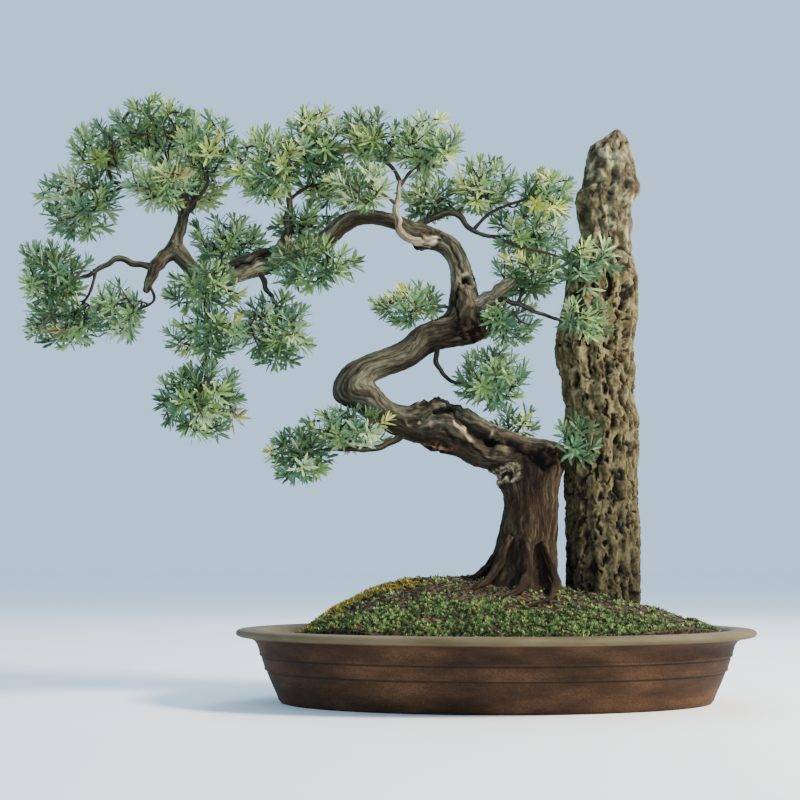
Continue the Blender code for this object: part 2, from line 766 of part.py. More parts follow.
def tuft_leaves(mass, tip, out, rng, obstacles):
    """Leaves in a spiral down the end of a twig, from one that points on to the most spread one.

    A leaf that would leave the space or touch a limb is tried shorter, and then skipped.
    """
    across = out.orthogonal().normalized()
    other = out.cross(across)
    start = rng.uniform(0, 2 * math.pi)
    leaves = []
    for i in range(LEAVES_A_TUFT):
        roll = start + i * GOLDEN_ANGLE
        splay = LEAF_SPLAY[0] + (LEAF_SPLAY[1] - LEAF_SPLAY[0]) * i / (LEAVES_A_TUFT - 1)
        aim = out * math.cos(splay) + (across * math.cos(roll) + other * math.sin(roll)) * math.sin(splay)
        root = tip - out * LEAF_SPACING * (i + LEAF_ROOT_START)
        for share in LEAF_SHARES:
            length = LEAF_LENGTH * share
            if not all(in_space(mass, root + aim * length * check) for check in LEAF_CHECKS):
                continue
            leaf = leaf_mesh(root, aim, out, length)
            if touches(leaf, obstacles):
                bpy.data.meshes.remove(leaf)
                continue
            leaves.append(leaf)
            break
    return leaves


def mass_twigs(mass, routes, rng, obstacles):
    """Routes and meshes of the leader and of its twigs, which grow on from it and from each other."""
    tips = choose_tips(mass, rng, obstacles)
    leader = leader_route(mass, routes, tips)
    twigs = [(leader, taper_mesh(leader, mass.radius * MM, 0.0))]
    nodes = nodes_on(leader, 0.0, LEADER_NODES)
    hub = mm(mass.via[-1])
    for tip in sorted(tips, key=lambda point: (point - hub).length):
        node = min(nodes, key=lambda place: (tip - place[0]).length + PATH_WEIGHT * place[1])
        route = [node[0], tip]
        mesh = taper_mesh(route, mass.radius * MM * TWIG_ROOT_SHARE, len(twigs))
        if touches(mesh, obstacles):
            bpy.data.meshes.remove(mesh)
            continue
        nodes.remove(node)
        nodes += nodes_on(route, node[1], TWIG_NODES)
        twigs.append((route, mesh))
    return twigs


def mass_pieces(mass, routes, obstacles):
    """The leader's mesh, and the twigs and leaves that are to be joined to it."""
    rng = random.Random(mass.name)
    twigs = mass_twigs(mass, routes, rng, obstacles)
    leaves = []
    for route, twig in twigs:
        others = [obstacle("twig", mesh) for _, mesh in twigs if mesh is not twig]
        others += [obstacle("leaf", mesh) for mesh in leaves]
        out = (route[-1] - route[-2]).normalized()
        leaves += tuft_leaves(mass, route[-1], out, rng, obstacles + others)
    return twigs[0][1], [mesh for _, mesh in twigs[1:]] + leaves


def is_closed(mesh):
    """True where every edge has two faces."""
    uses = {}
    for face in mesh.polygons:
        for key in face.edge_keys:
            uses[key] = uses.get(key, 0) + 1
    return all(count == 2 for count in uses.values())


def join_mass(item, pieces):
    """One Boolean union of the stem with a collection of its twigs and leaves."""
    collection = new_collection("pieces")
    tools = [add_cutter(mesh, collection) for mesh in pieces]
    stem = item.data.copy()
    for solver in SOLVERS:
        item.data = stem.copy()
        union = item.modifiers.new("join", "BOOLEAN")
        union.operation = "UNION"
        union.operand_type = "COLLECTION"
        union.collection = collection
        union.solver = solver
        apply_modifiers(item)
        if is_closed(item.data):
            break
    bpy.data.meshes.remove(stem)
    remove_objects(tools)
    bpy.data.collections.remove(collection)


# ---------------------------------------------------------------- assembly
def grown_mesh(name):
    """A limb's solid grown by the clearance that its neighbours keep from it."""
    if name in TRUNK:
        return trunk_mesh(name, TRUNK_CLEARANCE)
    return bough_mesh(next(bough for bough in BOUGHS if bough.name == name), GAP)


def clear_of_limbs(item, limbs, cutters):
    """Cuts an object clear of every earlier limb whose box it meets."""
    low, high = mesh_box(item.data)
    near = [limb.name for limb in limbs if boxes_meet(low, high, limb, GAP)]
    if near:
        cut_clear(item, [grown_mesh(name) for name in near], cutters)


def build_trunk(parts):
    limbs = []
    for name in TRUNK:
        item = add_object(name, trunk_mesh(name), "bark", parts)
        shade_round(item)
        limbs.append(obstacle(name, item.data))
    return limbs


def build_boughs(parts, cutters, limbs):
    for bough in BOUGHS:
        item = add_object(bough.name, bough_mesh(bough), bough.wood, parts)
        clear_of_limbs(item, limbs, cutters)
        shade_round(item)
        limbs.append(obstacle(bough.name, item.data))


def build_ground(parts, cutters):
    """Pot, mound and stone. The trunk's foot and the stone stand in sockets in the mound."""
    pot = add_object("pot", pot_mesh(), "stoneware", parts)
    stone = add_object("stone", stone_mesh(), "stone", parts)
    soil = add_object("mossy_mound", soil_mesh(), "moss_soil", parts)
    cut_clear(soil, [trunk_mesh("trunk_foot", GAP), stone_mesh(GAP)], cutters)
    for item in (pot, stone, soil):
        shade_round(item)
    return [obstacle(item.name, item.data) for item in (pot, stone, soil)]


def build_foliage(parts, cutters, limbs, ground):
    routes = {name: trunk_route(name) for name in TRUNK}
    routes.update({bough.name: bough_route(bough) for bough in BOUGHS})
    done = list(ground)
    for mass in MASSES:
        stem, pieces = mass_pieces(mass, routes, limbs + done)
        item = add_object(FOLIAGE_PREFIX + mass.name, stem, "leaf", parts)
        join_mass(item, pieces)
        clear_of_limbs(item, limbs, cutters)
        keep_largest_body(item)
        done.append(obstacle(item.name, item.data))


def main():
    clear_scene()
    parts = new_collection(OBJECT_NAME)
    cutters = new_collection("cutters")
    limbs = build_trunk(parts)
    build_boughs(parts, cutters, limbs)
    ground = build_ground(parts, cutters)
    build_foliage(parts, cutters, limbs, ground)


main()
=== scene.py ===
"""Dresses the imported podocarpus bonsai: stoneware, soil, moss, stone, bark, twigs and leaves.

Metres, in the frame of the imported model: +X along the pot, -Y to the front, +Z up.
"""
import json
import math
import random
from collections import namedtuple
from functools import partial

import bpy
import numpy as np
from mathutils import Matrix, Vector, noise
from mathutils.bvhtree import BVHTree

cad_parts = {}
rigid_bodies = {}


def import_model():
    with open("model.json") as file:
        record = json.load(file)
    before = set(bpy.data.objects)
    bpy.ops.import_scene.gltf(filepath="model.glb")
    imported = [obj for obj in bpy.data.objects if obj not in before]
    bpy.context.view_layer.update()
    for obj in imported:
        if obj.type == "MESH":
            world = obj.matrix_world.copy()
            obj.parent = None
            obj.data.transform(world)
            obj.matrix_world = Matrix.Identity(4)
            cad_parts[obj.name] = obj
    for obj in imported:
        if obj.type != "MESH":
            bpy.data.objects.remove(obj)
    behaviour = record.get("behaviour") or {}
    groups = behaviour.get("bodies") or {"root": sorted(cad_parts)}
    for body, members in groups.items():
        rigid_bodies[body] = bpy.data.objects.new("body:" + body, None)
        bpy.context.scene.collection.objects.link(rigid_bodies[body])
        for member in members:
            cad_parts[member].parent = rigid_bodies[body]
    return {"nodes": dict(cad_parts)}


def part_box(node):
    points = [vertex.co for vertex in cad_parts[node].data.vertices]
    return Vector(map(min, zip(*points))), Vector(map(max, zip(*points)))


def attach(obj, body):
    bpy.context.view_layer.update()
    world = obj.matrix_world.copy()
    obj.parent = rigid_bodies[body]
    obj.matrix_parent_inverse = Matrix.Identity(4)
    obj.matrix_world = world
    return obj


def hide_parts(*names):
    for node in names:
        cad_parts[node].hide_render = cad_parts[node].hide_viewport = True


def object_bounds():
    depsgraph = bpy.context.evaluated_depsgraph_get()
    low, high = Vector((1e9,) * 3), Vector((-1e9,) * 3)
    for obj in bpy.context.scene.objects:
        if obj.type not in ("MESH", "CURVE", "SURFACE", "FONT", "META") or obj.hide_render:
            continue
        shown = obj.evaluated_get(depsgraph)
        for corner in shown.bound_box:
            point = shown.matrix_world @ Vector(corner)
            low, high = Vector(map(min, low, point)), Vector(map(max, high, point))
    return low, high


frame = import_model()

bl_info = {
    "name": "Podocarpus bonsai dressing",
    "version": (1, 0, 0),
    "blender": (4, 5, 0),
    "location": "View3D > Sidebar > Bonsai",
    "description": "Builds the pot, moss, stone, bark and foliage of a potted podocarpus",
    "category": "Object",
}

MM = 0.001
BODY = "root"
CAD_LOW, CAD_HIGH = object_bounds()


def in_box(point, margin):
    """Whether a place lies inside the CAD model's box by a margin."""
    return all(CAD_LOW[axis] + margin < point[axis] < CAD_HIGH[axis] - margin for axis in range(3))


# ---------------------------------------------------------------- pot
POT_HALF_LENGTH = 435 * MM
POT_HALF_DEPTH = 280 * MM
POT_SEGMENTS = 224
# Inset from the lip's edge and height, in mm: up the outside, over the lip and down the inside.
POT_PROFILE = [
    (78.5, 0), (76, 0.8), (74.5, 3), (72, 5.5), (71, 9), (66, 20), (60.5, 32), (56.4, 41),
    (53.0, 49.4), (52.7, 52), (50.1, 53.6), (48.5, 55), (48.0, 56.6), (48.3, 58.2), (46.4, 64.5),
    (43.9, 71.6), (43.3, 74.4), (43.4, 76), (41.0, 77.6), (39.8, 79), (39.5, 80.6), (39.9, 82.2),
    (35.8, 95.5), (31.5, 102), (24, 106.4), (13, 108.4), (6, 109.4), (2.2, 111), (0.4, 113.2), (0, 115.6),
    (0.8, 117.6), (2.8, 119.8), (6, 121), (14, 121.6), (28, 121.8), (38, 121.4), (43, 119.6),
    (46.5, 116), (50, 112), (55, 106), (62, 98), (73, 60), (84, 24), (90, 16),
]
# Heights of the grooves under the raised lines, where a dark line of painted shade lies, and how far that
# painted shade reaches.
POT_GROOVES = [51.4 * MM, 75.4 * MM]
POT_GROOVE_SHADE = 1.5 * MM
# The dry, pale colour of the lip comes in between these heights.
LIP_FOOT = 106 * MM
LIP_TOP = 110.5 * MM
# How far the wheel draws clouds in the clay out along the wall.
WHEEL_DRAW = 3.2

# ---------------------------------------------------------------- mound
SOIL_LEVEL = 106 * MM
SOIL_INSET = 55.4 * MM
SOIL_HALF_LENGTH = POT_HALF_LENGTH - SOIL_INSET
SOIL_HALF_DEPTH = POT_HALF_DEPTH - SOIL_INSET
# The soil's edge turns down out of sight by this much.
SOIL_SKIRT = 14 * MM
# The mound's top in X, how far it rises, and how far it reaches to the left, to the right and across.
MOUND_X = -100 * MM
MOUND_RISE = 100 * MM
MOUND_LEFT = 232 * MM
MOUND_RIGHT = 500 * MM
MOUND_DEPTH = 212 * MM
MOUND_RINGS = 150
MOUND_SEGMENTS = 460
# The dry ridge left of the trunk, where the moss is ochre.
RIDGE_X = (-340 * MM, -90 * MM)
RIDGE_Y = (-70 * MM, 60 * MM)
RIDGE_LENGTH = 250 * MM
# The ground around the trunk and the stone is mostly bare, as far as this from the middle.
BARE_X = (-250 * MM, 330 * MM)
BARE_HALF_DEPTH = 128 * MM
BARE_WANDER = 30 * MM
# Moss left of this is drier.
DRY_X = -230 * MM
# How near to the pot's wall moss and litter come, as shares of the way from the middle.
MOSS_REACH = 0.985
LITTER_REACH = 0.93
# Where litter lies, in mm.
LITTER_X = (-260, 350)
LITTER_HALF_DEPTH = 150

# ---------------------------------------------------------------- standing stone
STONE_Y = 38 * MM
STONE_SEGMENTS = 200
STONE_RINGS = 480
# Centre x, height, width and depth, in mm, from its foot in the soil to its top.
STONE_RIBS = [
    (188, 132, 126, 100), (188, 209, 125, 100), (189, 290, 127, 98), (186, 367, 124, 98),
    (186, 431, 127, 98), (188, 469, 128, 98), (185, 502, 119, 95), (182, 519, 124, 95),
    (182, 546, 125, 94), (180, 572, 135, 96), (178, 604, 135, 96), (181, 630, 137, 94),
    (186, 655, 135, 94), (192, 697, 125, 92), (192, 729, 124, 90), (193, 767, 108, 86),
    (198, 788, 93, 82), (200, 803, 85, 78), (200, 826, 97, 80), (198, 844, 96, 80),
    (199, 864, 101, 80), (205, 878, 109, 80), (211, 890, 100, 78), (210, 905, 91, 76),
    (211, 925, 88, 72), (210, 943, 79, 66), (211, 963, 68, 58), (219, 973, 47, 46),
    (221, 984, 26, 28), (224, 992, 11, 13),
]
# Ridges round the stone: how deep, how many, and the height over which they turn a radian.
STONE_RIDGES = [(0.035, 3, 300), (0.03, 5, -47), (0.035, 9, -150), (0.045, 14, 120)]
# The share of the ridges' depth that stays on the stone's two sides, which are smoother.
SMOOTH_SIDE_SHARE = 0.35
# The bedding crack across the stone, with pebbly skin above it and flutes below.
STONE_CRACK = 769 * MM
# How far the pattern of pits and pebbles wanders, so that none is regular.
STONE_WANDER = 7 * MM
# Blender draws its noise vectors anew in each run unless they are seeded.
NOISE_SEED = 23
# Nodules that stand out of the stone: x, height, radius and how far they stand out, in mm.
STONE_NODULES = [
    (254, 891, 12, 4), (236, 886, 7, -7), (219, 902, 9, 4), (189, 906, 8, 3), (180, 846, 11, 4),
    (228, 936, 9, 3), (176, 700, 10, 3), (205, 868, 5, -5), (232, 846, 5, -5), (190, 826, 5, -4),
    (214, 800, 6, -5), (222, 668, 6, -6), (234, 560, 8, -6), (206, 566, 5, -5),
]
# Heights between which chalky skin takes over, and between which the stone's darker foot brightens to its
# full colour.
CHALK_FOOT = 700 * MM
CHALK_TOP = 820 * MM
STONE_DIM_FOOT = 150 * MM
STONE_DIM_TOP = 620 * MM

# ---------------------------------------------------------------- trunk
# Points round the trunk, and the step between its rings in mm.
TRUNK_SEGMENTS = 112
TRUNK_SPACING = 2.7
# Splashed soil and painted shade darken the foot more and more below this height.
SOIL_AND_SHADE_TOP = 262 * MM
SOIL_AND_SHADE_FADE = 100 * MM
# The bark is brown below the lower height, and grey above the upper one.
BROWN_TOP = 350 * MM
GREY_FOOT = 520 * MM
# Limbs of this mean radius and over have the coarsest bark.
COARSE_GIRTH = 45 * MM
# Limbs thicker than this have straighter grain.
SWAY_GIRTH = 20 * MM
# The trunk's flutes: their depth as a share, how many, and how many radians they turn in a metre.
BARK_FLUTE = 0.05
FLUTES = 3
FLUTE_TURN_PER_M = 9
# The root flare: how far it widens the foot as a share, up to where it is full, how fast it dies
# out above, and its ribs' bearings and width in degrees.
ROOT_FLARE = 0.34
FLARE_TOP = 192 * MM
ROOT_FADE = 26 * MM
ROOT_BEARINGS = [190, 232, 270, 306, 61, 113]
ROOT_WIDTH = 24
# One rib a row: x, y, z, width across the growth, depth in Y (mm) and heading (degrees).
# The heading is the way the trunk grows there: 0 is to the right, 90 up, 180 to the left.
TRUNK = {
    "trunk_foot": [
        (44, 0, 160, 132, 128, 90), (48, 0, 210, 116, 108, 87), (54, 0, 262, 101, 96, 87),
        (60, 0, 322, 93, 90, 88), (59, 0, 362, 100, 90, 93), (52, 0, 406, 118, 90, 111),
    ],
    "trunk_reach": [
        (52, 0, 406, 118, 90, 111), (7, -4, 420, 94, 84, 121), (-45, -12, 443, 77, 74, 137),
        (-92, -16, 464, 82, 76, 156), (-146, -14, 467, 56, 54, 166), (-188, -8, 484, 49, 46, 152),
        (-216, -3, 509, 57, 46, 134), (-237, 0, 526, 76, 44, 111),
    ],
    "trunk_return": [
        (-237, 0, 526, 76, 44, 111), (-229, 2, 550, 70, 46, 80), (-203, 4, 566, 58, 46, 59),
        (-151, 8, 587, 48, 46, 36), (-114, 10, 615, 54, 52, 42), (-57, 10, 635, 72, 58, 51),
    ],
    "trunk_rise": [
        (-57, 10, 635, 72, 58, 51), (-48, 9, 667, 64, 52, 62), (-51, 8, 707, 45, 44, 84),
        (-59, 6, 746, 37, 38, 95), (-79, 4, 776, 40, 38, 122), (-115, 0, 790, 40, 36, 150),
        (-149, -4, 803, 34, 30, 163), (-168, -6, 815, 25, 25, 159),
    ],
    "trunk_arch": [
        (-168, -6, 815, 25, 25, 159), (-216, -6, 825, 25, 25, 184), (-255, -2, 816, 30, 28, 206),
        (-303, 4, 777, 35, 33, 207), (-370, 8, 757, 44, 40, 197), (-436, 4, 736, 41, 36, 200),
        (-475, 0, 719, 30, 28, 204), (-510, 0, 729, 27, 26, 168), (-546, 0, 766, 31, 28, 134),
    ],
}
Mark = namedtuple("Mark", "kind width depth points")
# What time has done to the trunk's front: places as x and height, and sizes, all in mm.
# The depth of a shade is how dark it is, in tenths.
MARKS = [
    Mark("hollow", 8.5, 12, [(-48, 712)]),
    Mark("stub", 8, 3, [(-115, 781), (-107, 781)]),
    Mark("hollow", 5, 3.5, [(12, 374), (28, 380)]),
    Mark("callus", 12, 5, [(8, 377), (20, 381), (31, 383)]),
    Mark("scab", 3.5, 1.5, [(-149, 467), (-142, 462)]),
    Mark("scab", 4.5, 2, [(-126, 464)]),
    Mark("scab", 3.5, 2, [(-110, 461)]),
    Mark("burl", 8, 11, [(-134, 499), (-116, 502), (-98, 503)]),
    Mark("burl", 9, 6, [(-110, 430), (-76, 421)]),
    Mark("burl", 11, 8, [(-129, 770)]),
    Mark("burl", 14, 8, [(-50, 622), (-31, 624), (-19, 632)]),
    Mark("burl", 18, 6, [(98, 412), (122, 400)]),
    Mark("shade", 24, 5.5, [(-95, 607), (-60, 620), (-52, 650), (-55, 682)]),
    Mark("cleft", 12, 13, [(-72, 489), (-56, 472), (-40, 455), (-24, 440), (-6, 428)]),
    Mark("cleft", 4.5, 6, [(-104, 484), (-86, 486), (-69, 491)]),
    Mark("cleft", 9.5, 10, [(-6, 436), (23, 427), (45, 416), (67, 405), (85, 391)]),
    Mark("cleft", 15, 4.5, [(72, 415), (100, 404)]),
    Mark("cleft", 3.5, 4, [(-90, 452), (-62, 436), (-36, 420), (-4, 398)]),
    Mark("cleft", 4, 1.6, [(35, 349), (27, 286), (17, 228)]),
    Mark("cleft", 4, 1.6, [(72, 369), (76, 302), (67, 236)]),
    Mark("cleft", 3.5, 4.5, [(-98, 798), (-78, 779), (-64, 757), (-56, 731)]),
    Mark("cleft", 3, 3.5, [(-62, 700), (-66, 668), (-60, 640)]),
    Mark("cleft", 4, 6, [(-470, 724), (-433, 741), (-396, 758), (-365, 769)]),
    Mark("bare", 8.5, 1.5, [(-460, 717), (-433, 722), (-402, 733)]),
    Mark("bare", 4, 2, [(-67, 464), (-52, 450), (-42, 435)]),
    Mark("bare", 4, 2, [(-10, 444), (3, 434), (17, 425)]),
    Mark("bare", 7, 1, [(-40, 690), (-34, 677)]),
]
# How far the edges of marks wander.
MARK_WANDER = 7 * MM
# Surface roots, as plan points from the trunk's foot outwards, with their radii, in mm.
Root = namedtuple("Root", "name root_radius tip_radius route")
ROOTS = [
    Root("front_root", 12, 4, [(52, -46), (46, -78), (14, -108), (-24, -132)]),
    Root("left_front_root", 10, 3, [(20, -36), (-4, -62), (-36, -84), (-74, -98)]),
    Root("right_root", 11, 3, [(80, -44), (94, -68), (80, -106), (38, -134)]),
    Root("left_root", 12, 3, [(26, -10), (-10, -14), (-44, -20), (-84, -26)]),
    Root("back_root", 12, 4, [(24, 50), (12, 78), (-8, 104), (-30, 120)]),
    Root("far_root", 11, 3, [(74, 46), (88, 74), (92, 106), (84, 136)]),
]
# How far up the trunk a root starts, as a rib that is half sunk in the bark.
ROOT_RISE = 75 * MM

# ---------------------------------------------------------------- boughs
Bough = namedtuple("Bough", "name wood root_radius tip_radius route")
# Radii and the points of each route are in mm.
BOUGHS = [
    Bough("stump", "dead", 29, 20, [(66, 0, 400), (95, -2, 410), (117, -4, 408)]),
    Bough("fork_stub", "bark", 15.5, 8,
          [(-548, 0, 768), (-571, -8, 750), (-587, -14, 724), (-594, -16, 696)]),
    Bough("dome_bough", "bark", 13, 7, [(-549, 0, 772), (-544, 2, 800), (-535, 6, 830), (-526, 10, 852)]),
    Bough("dome_left_bough", "bark", 6, 3.5,
          [(-529, 9, 843), (-566, 28, 866), (-620, 36, 885), (-665, 24, 895)]),
    Bough("left_bough", "bark", 6.5, 3.8,
          [(-584, -12, 736), (-614, -20, 740), (-645, -26, 747), (-693, -24, 718)]),
    Bough("riser_bough", "bark", 9.5, 4.2,
          [(-389, 8, 754), (-360, 16, 795), (-354, 16, 860), (-362, 8, 919)]),
    Bough("pale_bough", "driftwood", 8.4, 4.2,
          [(-108, -6, 780), (-141, -20, 782), (-160, -27, 796), (-167, -28, 830), (-160, -20, 883)]),
    Bough("east_bough", "bark", 7.5, 3.6,
          [(-134, -2, 804), (-111, 10, 824), (-62, 16, 836), (-30, 10, 802), (8, 4, 792)]),
    Bough("dead_branch", "driftwood", 16, 11, [(-44, 8, 680), (-14, 2, 680), (30, -12, 710)]),
    Bough("thin_bough", "bark", 5.5, 2.8, [(-4, 0, 684), (31, -22, 675), (60, -42, 656), (108, -62, 636)]),
    Bough("small_drop", "dead", 5.5, 3, [(-89, 8, 612), (-97, -6, 586), (-84, -12, 546), (-48, -12, 530)]),
    Bough("low_bough", "bark", 7.5, 3.4,
          [(-140, -16, 458), (-170, -28, 436), (-214, -34, 420), (-271, -32, 421)]),
    Bough("drop_bough", "bark", 6, 3.6, [(-404, 6, 738), (-394, -4, 711), (-368, -8, 660)]),
    Bough("weep_bough", "bark", 7, 3,
          [(-488, 0, 724), (-491, -16, 670), (-489, -18, 600), (-501, -12, 534)]),
]
# Knots along a bough: how much they widen it, and how quickly they follow each other.
KNOT_SWELL = 0.06
KNOT_WAVES = 9
# The step between a bough's rings in mm, and the points in a ring.
BOUGH_SPACING = 2.4
BOUGH_SEGMENTS = 26
# Bark hides a little of each bough's plain form, and its axis kinks by up to this much.
BOUGH_SLIMNESS = 0.92
KINK = 5 * MM

# ---------------------------------------------------------------- foliage
# A mass grows from a share of its parent's length, through via points, and keeps inside an
# ellipsoid of its own. The stem's radius, the points and the half sizes are in mm.
Mass = namedtuple("Mass", "name parent share radius via centre half tufts")
MASSES = [
    Mass("dome_peak", "dome_bough", 1.0, 5, [(-559, -4, 903), (-580, -6, 940)],
         (-592, -5, 988), (77, 74, 61), 4),
    Mass("dome_right", "dome_bough", 0.86, 4, [(-494, -8, 880), (-494, -14, 916)],
         (-498, -15, 948), (59, 74, 62), 3),
    Mass("dome_left", "dome_left_bough", 1.0, 3.2, [(-672, 28, 920)], (-683, 30, 954), (62, 74, 50), 3),
    Mass("dome_edge", "dome_left_bough", 0.84, 3.2, [(-668, 14, 872), (-694, 8, 858)],
         (-718, 8, 853), (77, 74, 66), 4),
    Mass("dome_front", "dome_bough", 0.62, 4, [(-547, -26, 840), (-561, -42, 855)],
         (-568, -68, 873), (68, 62, 54), 3),
    Mass("dome_back", "dome_bough", 0.72, 4, [(-522, 40, 856), (-529, 58, 885)],
         (-542, 84, 905), (78, 64, 54), 3),
    Mass("tip_upper", "left_bough", 1.0, 3.4, [(-724, -24, 711)], (-757, -25, 722), (78, 72, 58), 3),
    Mass("tip_lower", "left_bough", 0.86, 3, [(-690, -20, 690), (-709, -14, 664)],
         (-735, -10, 641), (79, 72, 46), 3),
    Mass("sling", "fork_stub", 0.86, 3, [(-578, -32, 675), (-608, -42, 658)],
         (-636, -45, 652), (46, 72, 56), 2),
    Mass("limb_back", "trunk_arch", 0.8, 4, [(-465, 30, 782)], (-469, 56, 797), (77, 64, 49), 2),
    Mass("limb_front", "trunk_arch", 0.88, 4, [(-493, -38, 700)], (-488, -76, 687), (71, 62, 47), 2),
    Mass("riser_foot", "riser_bough", 0.42, 3.6, [(-338, 24, 816)], (-330, 48, 824), (67, 64, 42), 2),
    Mass("riser_left", "riser_bough", 1.0, 3.8, [(-376, 0, 935)], (-392, -15, 913), (69, 72, 69), 3),
    Mass("riser_top", "riser_bough", 0.88, 3.6, [(-334, 4, 929), (-314, 4, 950)],
         (-303, 5, 961), (66, 72, 63), 3),
    Mass("riser_back", "riser_bough", 0.66, 3.6, [(-329, 36, 885), (-300, 50, 900)],
         (-276, 78, 908), (75, 64, 50), 2),
    Mass("drop", "drop_bough", 1.0, 3.4, [(-366, -8, 640)], (-374, -10, 627), (72, 72, 68), 3),
    Mass("weep_heart", "weep_bough", 0.42, 3.2, [(-482, -36, 630)], (-482, -60, 614), (78, 62, 48), 2),
    Mass("weep_low", "weep_bough", 1.0, 3, [(-504, -12, 515)], (-495, -10, 506), (85, 72, 72), 4),
    Mass("arch_under", "trunk_arch", 0.5, 3.8, [(-312, -32, 742)], (-306, -64, 731), (85, 62, 51), 3),
    Mass("arch_top", "pale_bough", 1.0, 4.2, [(-172, -14, 908), (-203, 2, 940)],
         (-216, 5, 965), (63, 72, 57), 3),
    Mass("arch_front", "pale_bough", 0.72, 3.4, [(-188, -42, 855)], (-225, -70, 861), (66, 62, 42), 2),
    Mass("arch_right", "pale_bough", 0.93, 3.6, [(-142, -16, 902), (-124, -10, 920)],
         (-111, -5, 951), (63, 72, 59), 3),
    Mass("bridge", "east_bough", 0.3, 3.5, [(-98, 26, 850)], (-104, 52, 872), (67, 64, 42), 2),
    Mass("east_high", "east_bough", 0.5, 3.5, [(-38, 12, 858)], (-14, 5, 884), (63, 72, 52), 3),
    Mass("east_top", "east_bough", 0.74, 3.4, [(0, -2, 835), (65, -8, 858)],
         (96, -8, 861), (59, 72, 48), 2),
    Mass("east_mid", "east_bough", 1.0, 3.2, [(36, 8, 796)], (63, 12, 804), (73, 72, 45), 3),
    Mass("east_low", "thin_bough", 0.4, 3.2, [(54, -6, 700)], (60, 14, 732), (62, 72, 52), 3),
    Mass("east_under", "trunk_rise", 0.14, 3.6, [(0, 14, 656)], (30, 12, 645), (59, 72, 42), 2),
    Mass("stone_high", "east_bough", 0.93, 3.2, [(46, -26, 768), (105, -58, 745)],
         (155, -76, 730), (56, 38, 57), 2),
    Mass("stone_low", "thin_bough", 1.0, 2.6, [(127, -70, 633)], (150, -80, 637), (53, 38, 43), 2),
    Mass("knuckle", "trunk_rise", 0.12, 3.6, [(-108, -8, 672)], (-146, -8, 672), (65, 72, 42), 3),
    Mass("pendant", "small_drop", 1.0, 2.8, [(-26, -12, 534)], (-3, -12, 546), (68, 72, 58), 3),
    Mass("low_tip", "low_bough", 1.0, 3.2, [(-298, -34, 418)], (-328, -35, 411), (60, 72, 50), 3),
    Mass("low_mid", "low_bough", 0.72, 3.2, [(-250, -30, 440)], (-246, -28, 455), (86, 72, 41), 2),
    Mass("behind", "trunk_reach", 0.12, 3.6, [(27, 40, 460)], (36, 52, 474), (49, 44, 38), 2),
    Mass("sprout", "stump", 0.9, 3.4, [(124, -38, 420)], (134, -60, 434), (42, 44, 47), 2),
]
FOLIAGE_PREFIX = "leaves_"
# How far out in their mass the source's tips, the finer tips and the leaves' ends may lie: 1 is its skin.
TIP_REACH = 0.56
FINE_REACH = 0.88
LEAF_REACH = 1.12
# How many places are tried for each tip.
TIP_CANDIDATES = 40
FINE_CANDIDATES = 24
# By how much a tip lies deeper in its own mass than in any other.
SPACE_MARGIN = 0.05
# How far twig tips and leaf ends keep from the sides of the CAD model's box.
TIP_MARGIN = 12 * MM
LEAF_MARGIN = 5 * MM
# How far tips, twigs and leaves keep from the limbs and the stone.
LIMB_CLEARANCE = 9 * MM
TWIG_CLEARANCE = 1 * MM
LEAF_CLEARANCE = 1.5 * MM
# How much the way back to the stem's root counts when a twig's start is chosen.
PATH_WEIGHT = 0.4
# Where twigs start, as shares of the stem, of the source's twigs and of the finer ones.
LEADER_NODES = (0.42, 0.55, 0.68, 0.81)
TWIG_NODES = (0.36, 0.68)
FINE_NODES = (0.5,)
STEM_SIDES = 7
STEM_TIP_RADIUS = 1.5 * MM
TWIG_SIDES = 5
TWIG_TIP_RADIUS = 1.1 * MM
# The angle from one leaf or blade of moss to the next round its shoot.
GOLDEN_ANGLE = math.radians(137.5)
# How far the first and the last leaf of a tuft spread from the twig, and the step between two, in mm.
LEAF_SPLAY = (math.radians(8), math.radians(76))
LEAF_STEP = 1.35
# A leaf that has no room is tried at these shares of its length.
LEAF_SHARES = (1.0, 0.85, 0.7)
# Where the young, yellow-green shoots stand, in mm.
YOUNG_SHOOTS = [
    (-49, -40, 862), (-6, -30, 838), (86, -40, 836), (44, -30, 742), (-487, -30, 972),
    (-151, -30, 682), (-160, -60, 470), (-425, -60, 632), (-100, -30, 985), (-560, -60, 930),
]
YOUNG_REACH = 27 * MM


# ---------------------------------------------------------------- colours and nodes
def linear(code):
    """The linear colour, with alpha, of an sRGB hex code."""
    shares = [int(code[i:i + 2], 16) / 255 for i in (0, 2, 4)]
    return (*[c / 12.92 if c <= 0.04045 else ((c + 0.055) / 1.055) ** 2.4 for c in shares], 1.0)


def grey(value):
    return (value, value, value, 1.0)


def feed(node, inputs):
    """Fills sockets, each with a value, from an output, or from the first output in use of a node."""
    for name, value in inputs.items():
        if isinstance(value, bpy.types.Node):
            value = next(output for output in value.outputs if output.enabled)
        if isinstance(value, bpy.types.NodeSocket):
            node.id_data.links.new(value, node.inputs[name])
        else:
            node.inputs[name].default_value = value


def add_node(tree, kind, inputs=None, stops=None, **settings):
    """Adds a node with its settings, what feeds its sockets, and a ramp's stops."""
    node = tree.nodes.new("ShaderNode" + kind)
    for name, value in settings.items():
        setattr(node, name, value)
    feed(node, inputs or {})
    if stops:
        ramp = node.color_ramp.elements
        while len(ramp) < len(stops):
            ramp.new(1.0)
        for element, (place, colour) in zip(ramp, stops):
            element.position = place
            element.color = linear(colour) if isinstance(colour, str) else colour
    return node


# Sockets of a Mix node that mixes colours. Those of one that mixes numbers are 2 and 3.
MIX_A = 6
MIX_B = 7


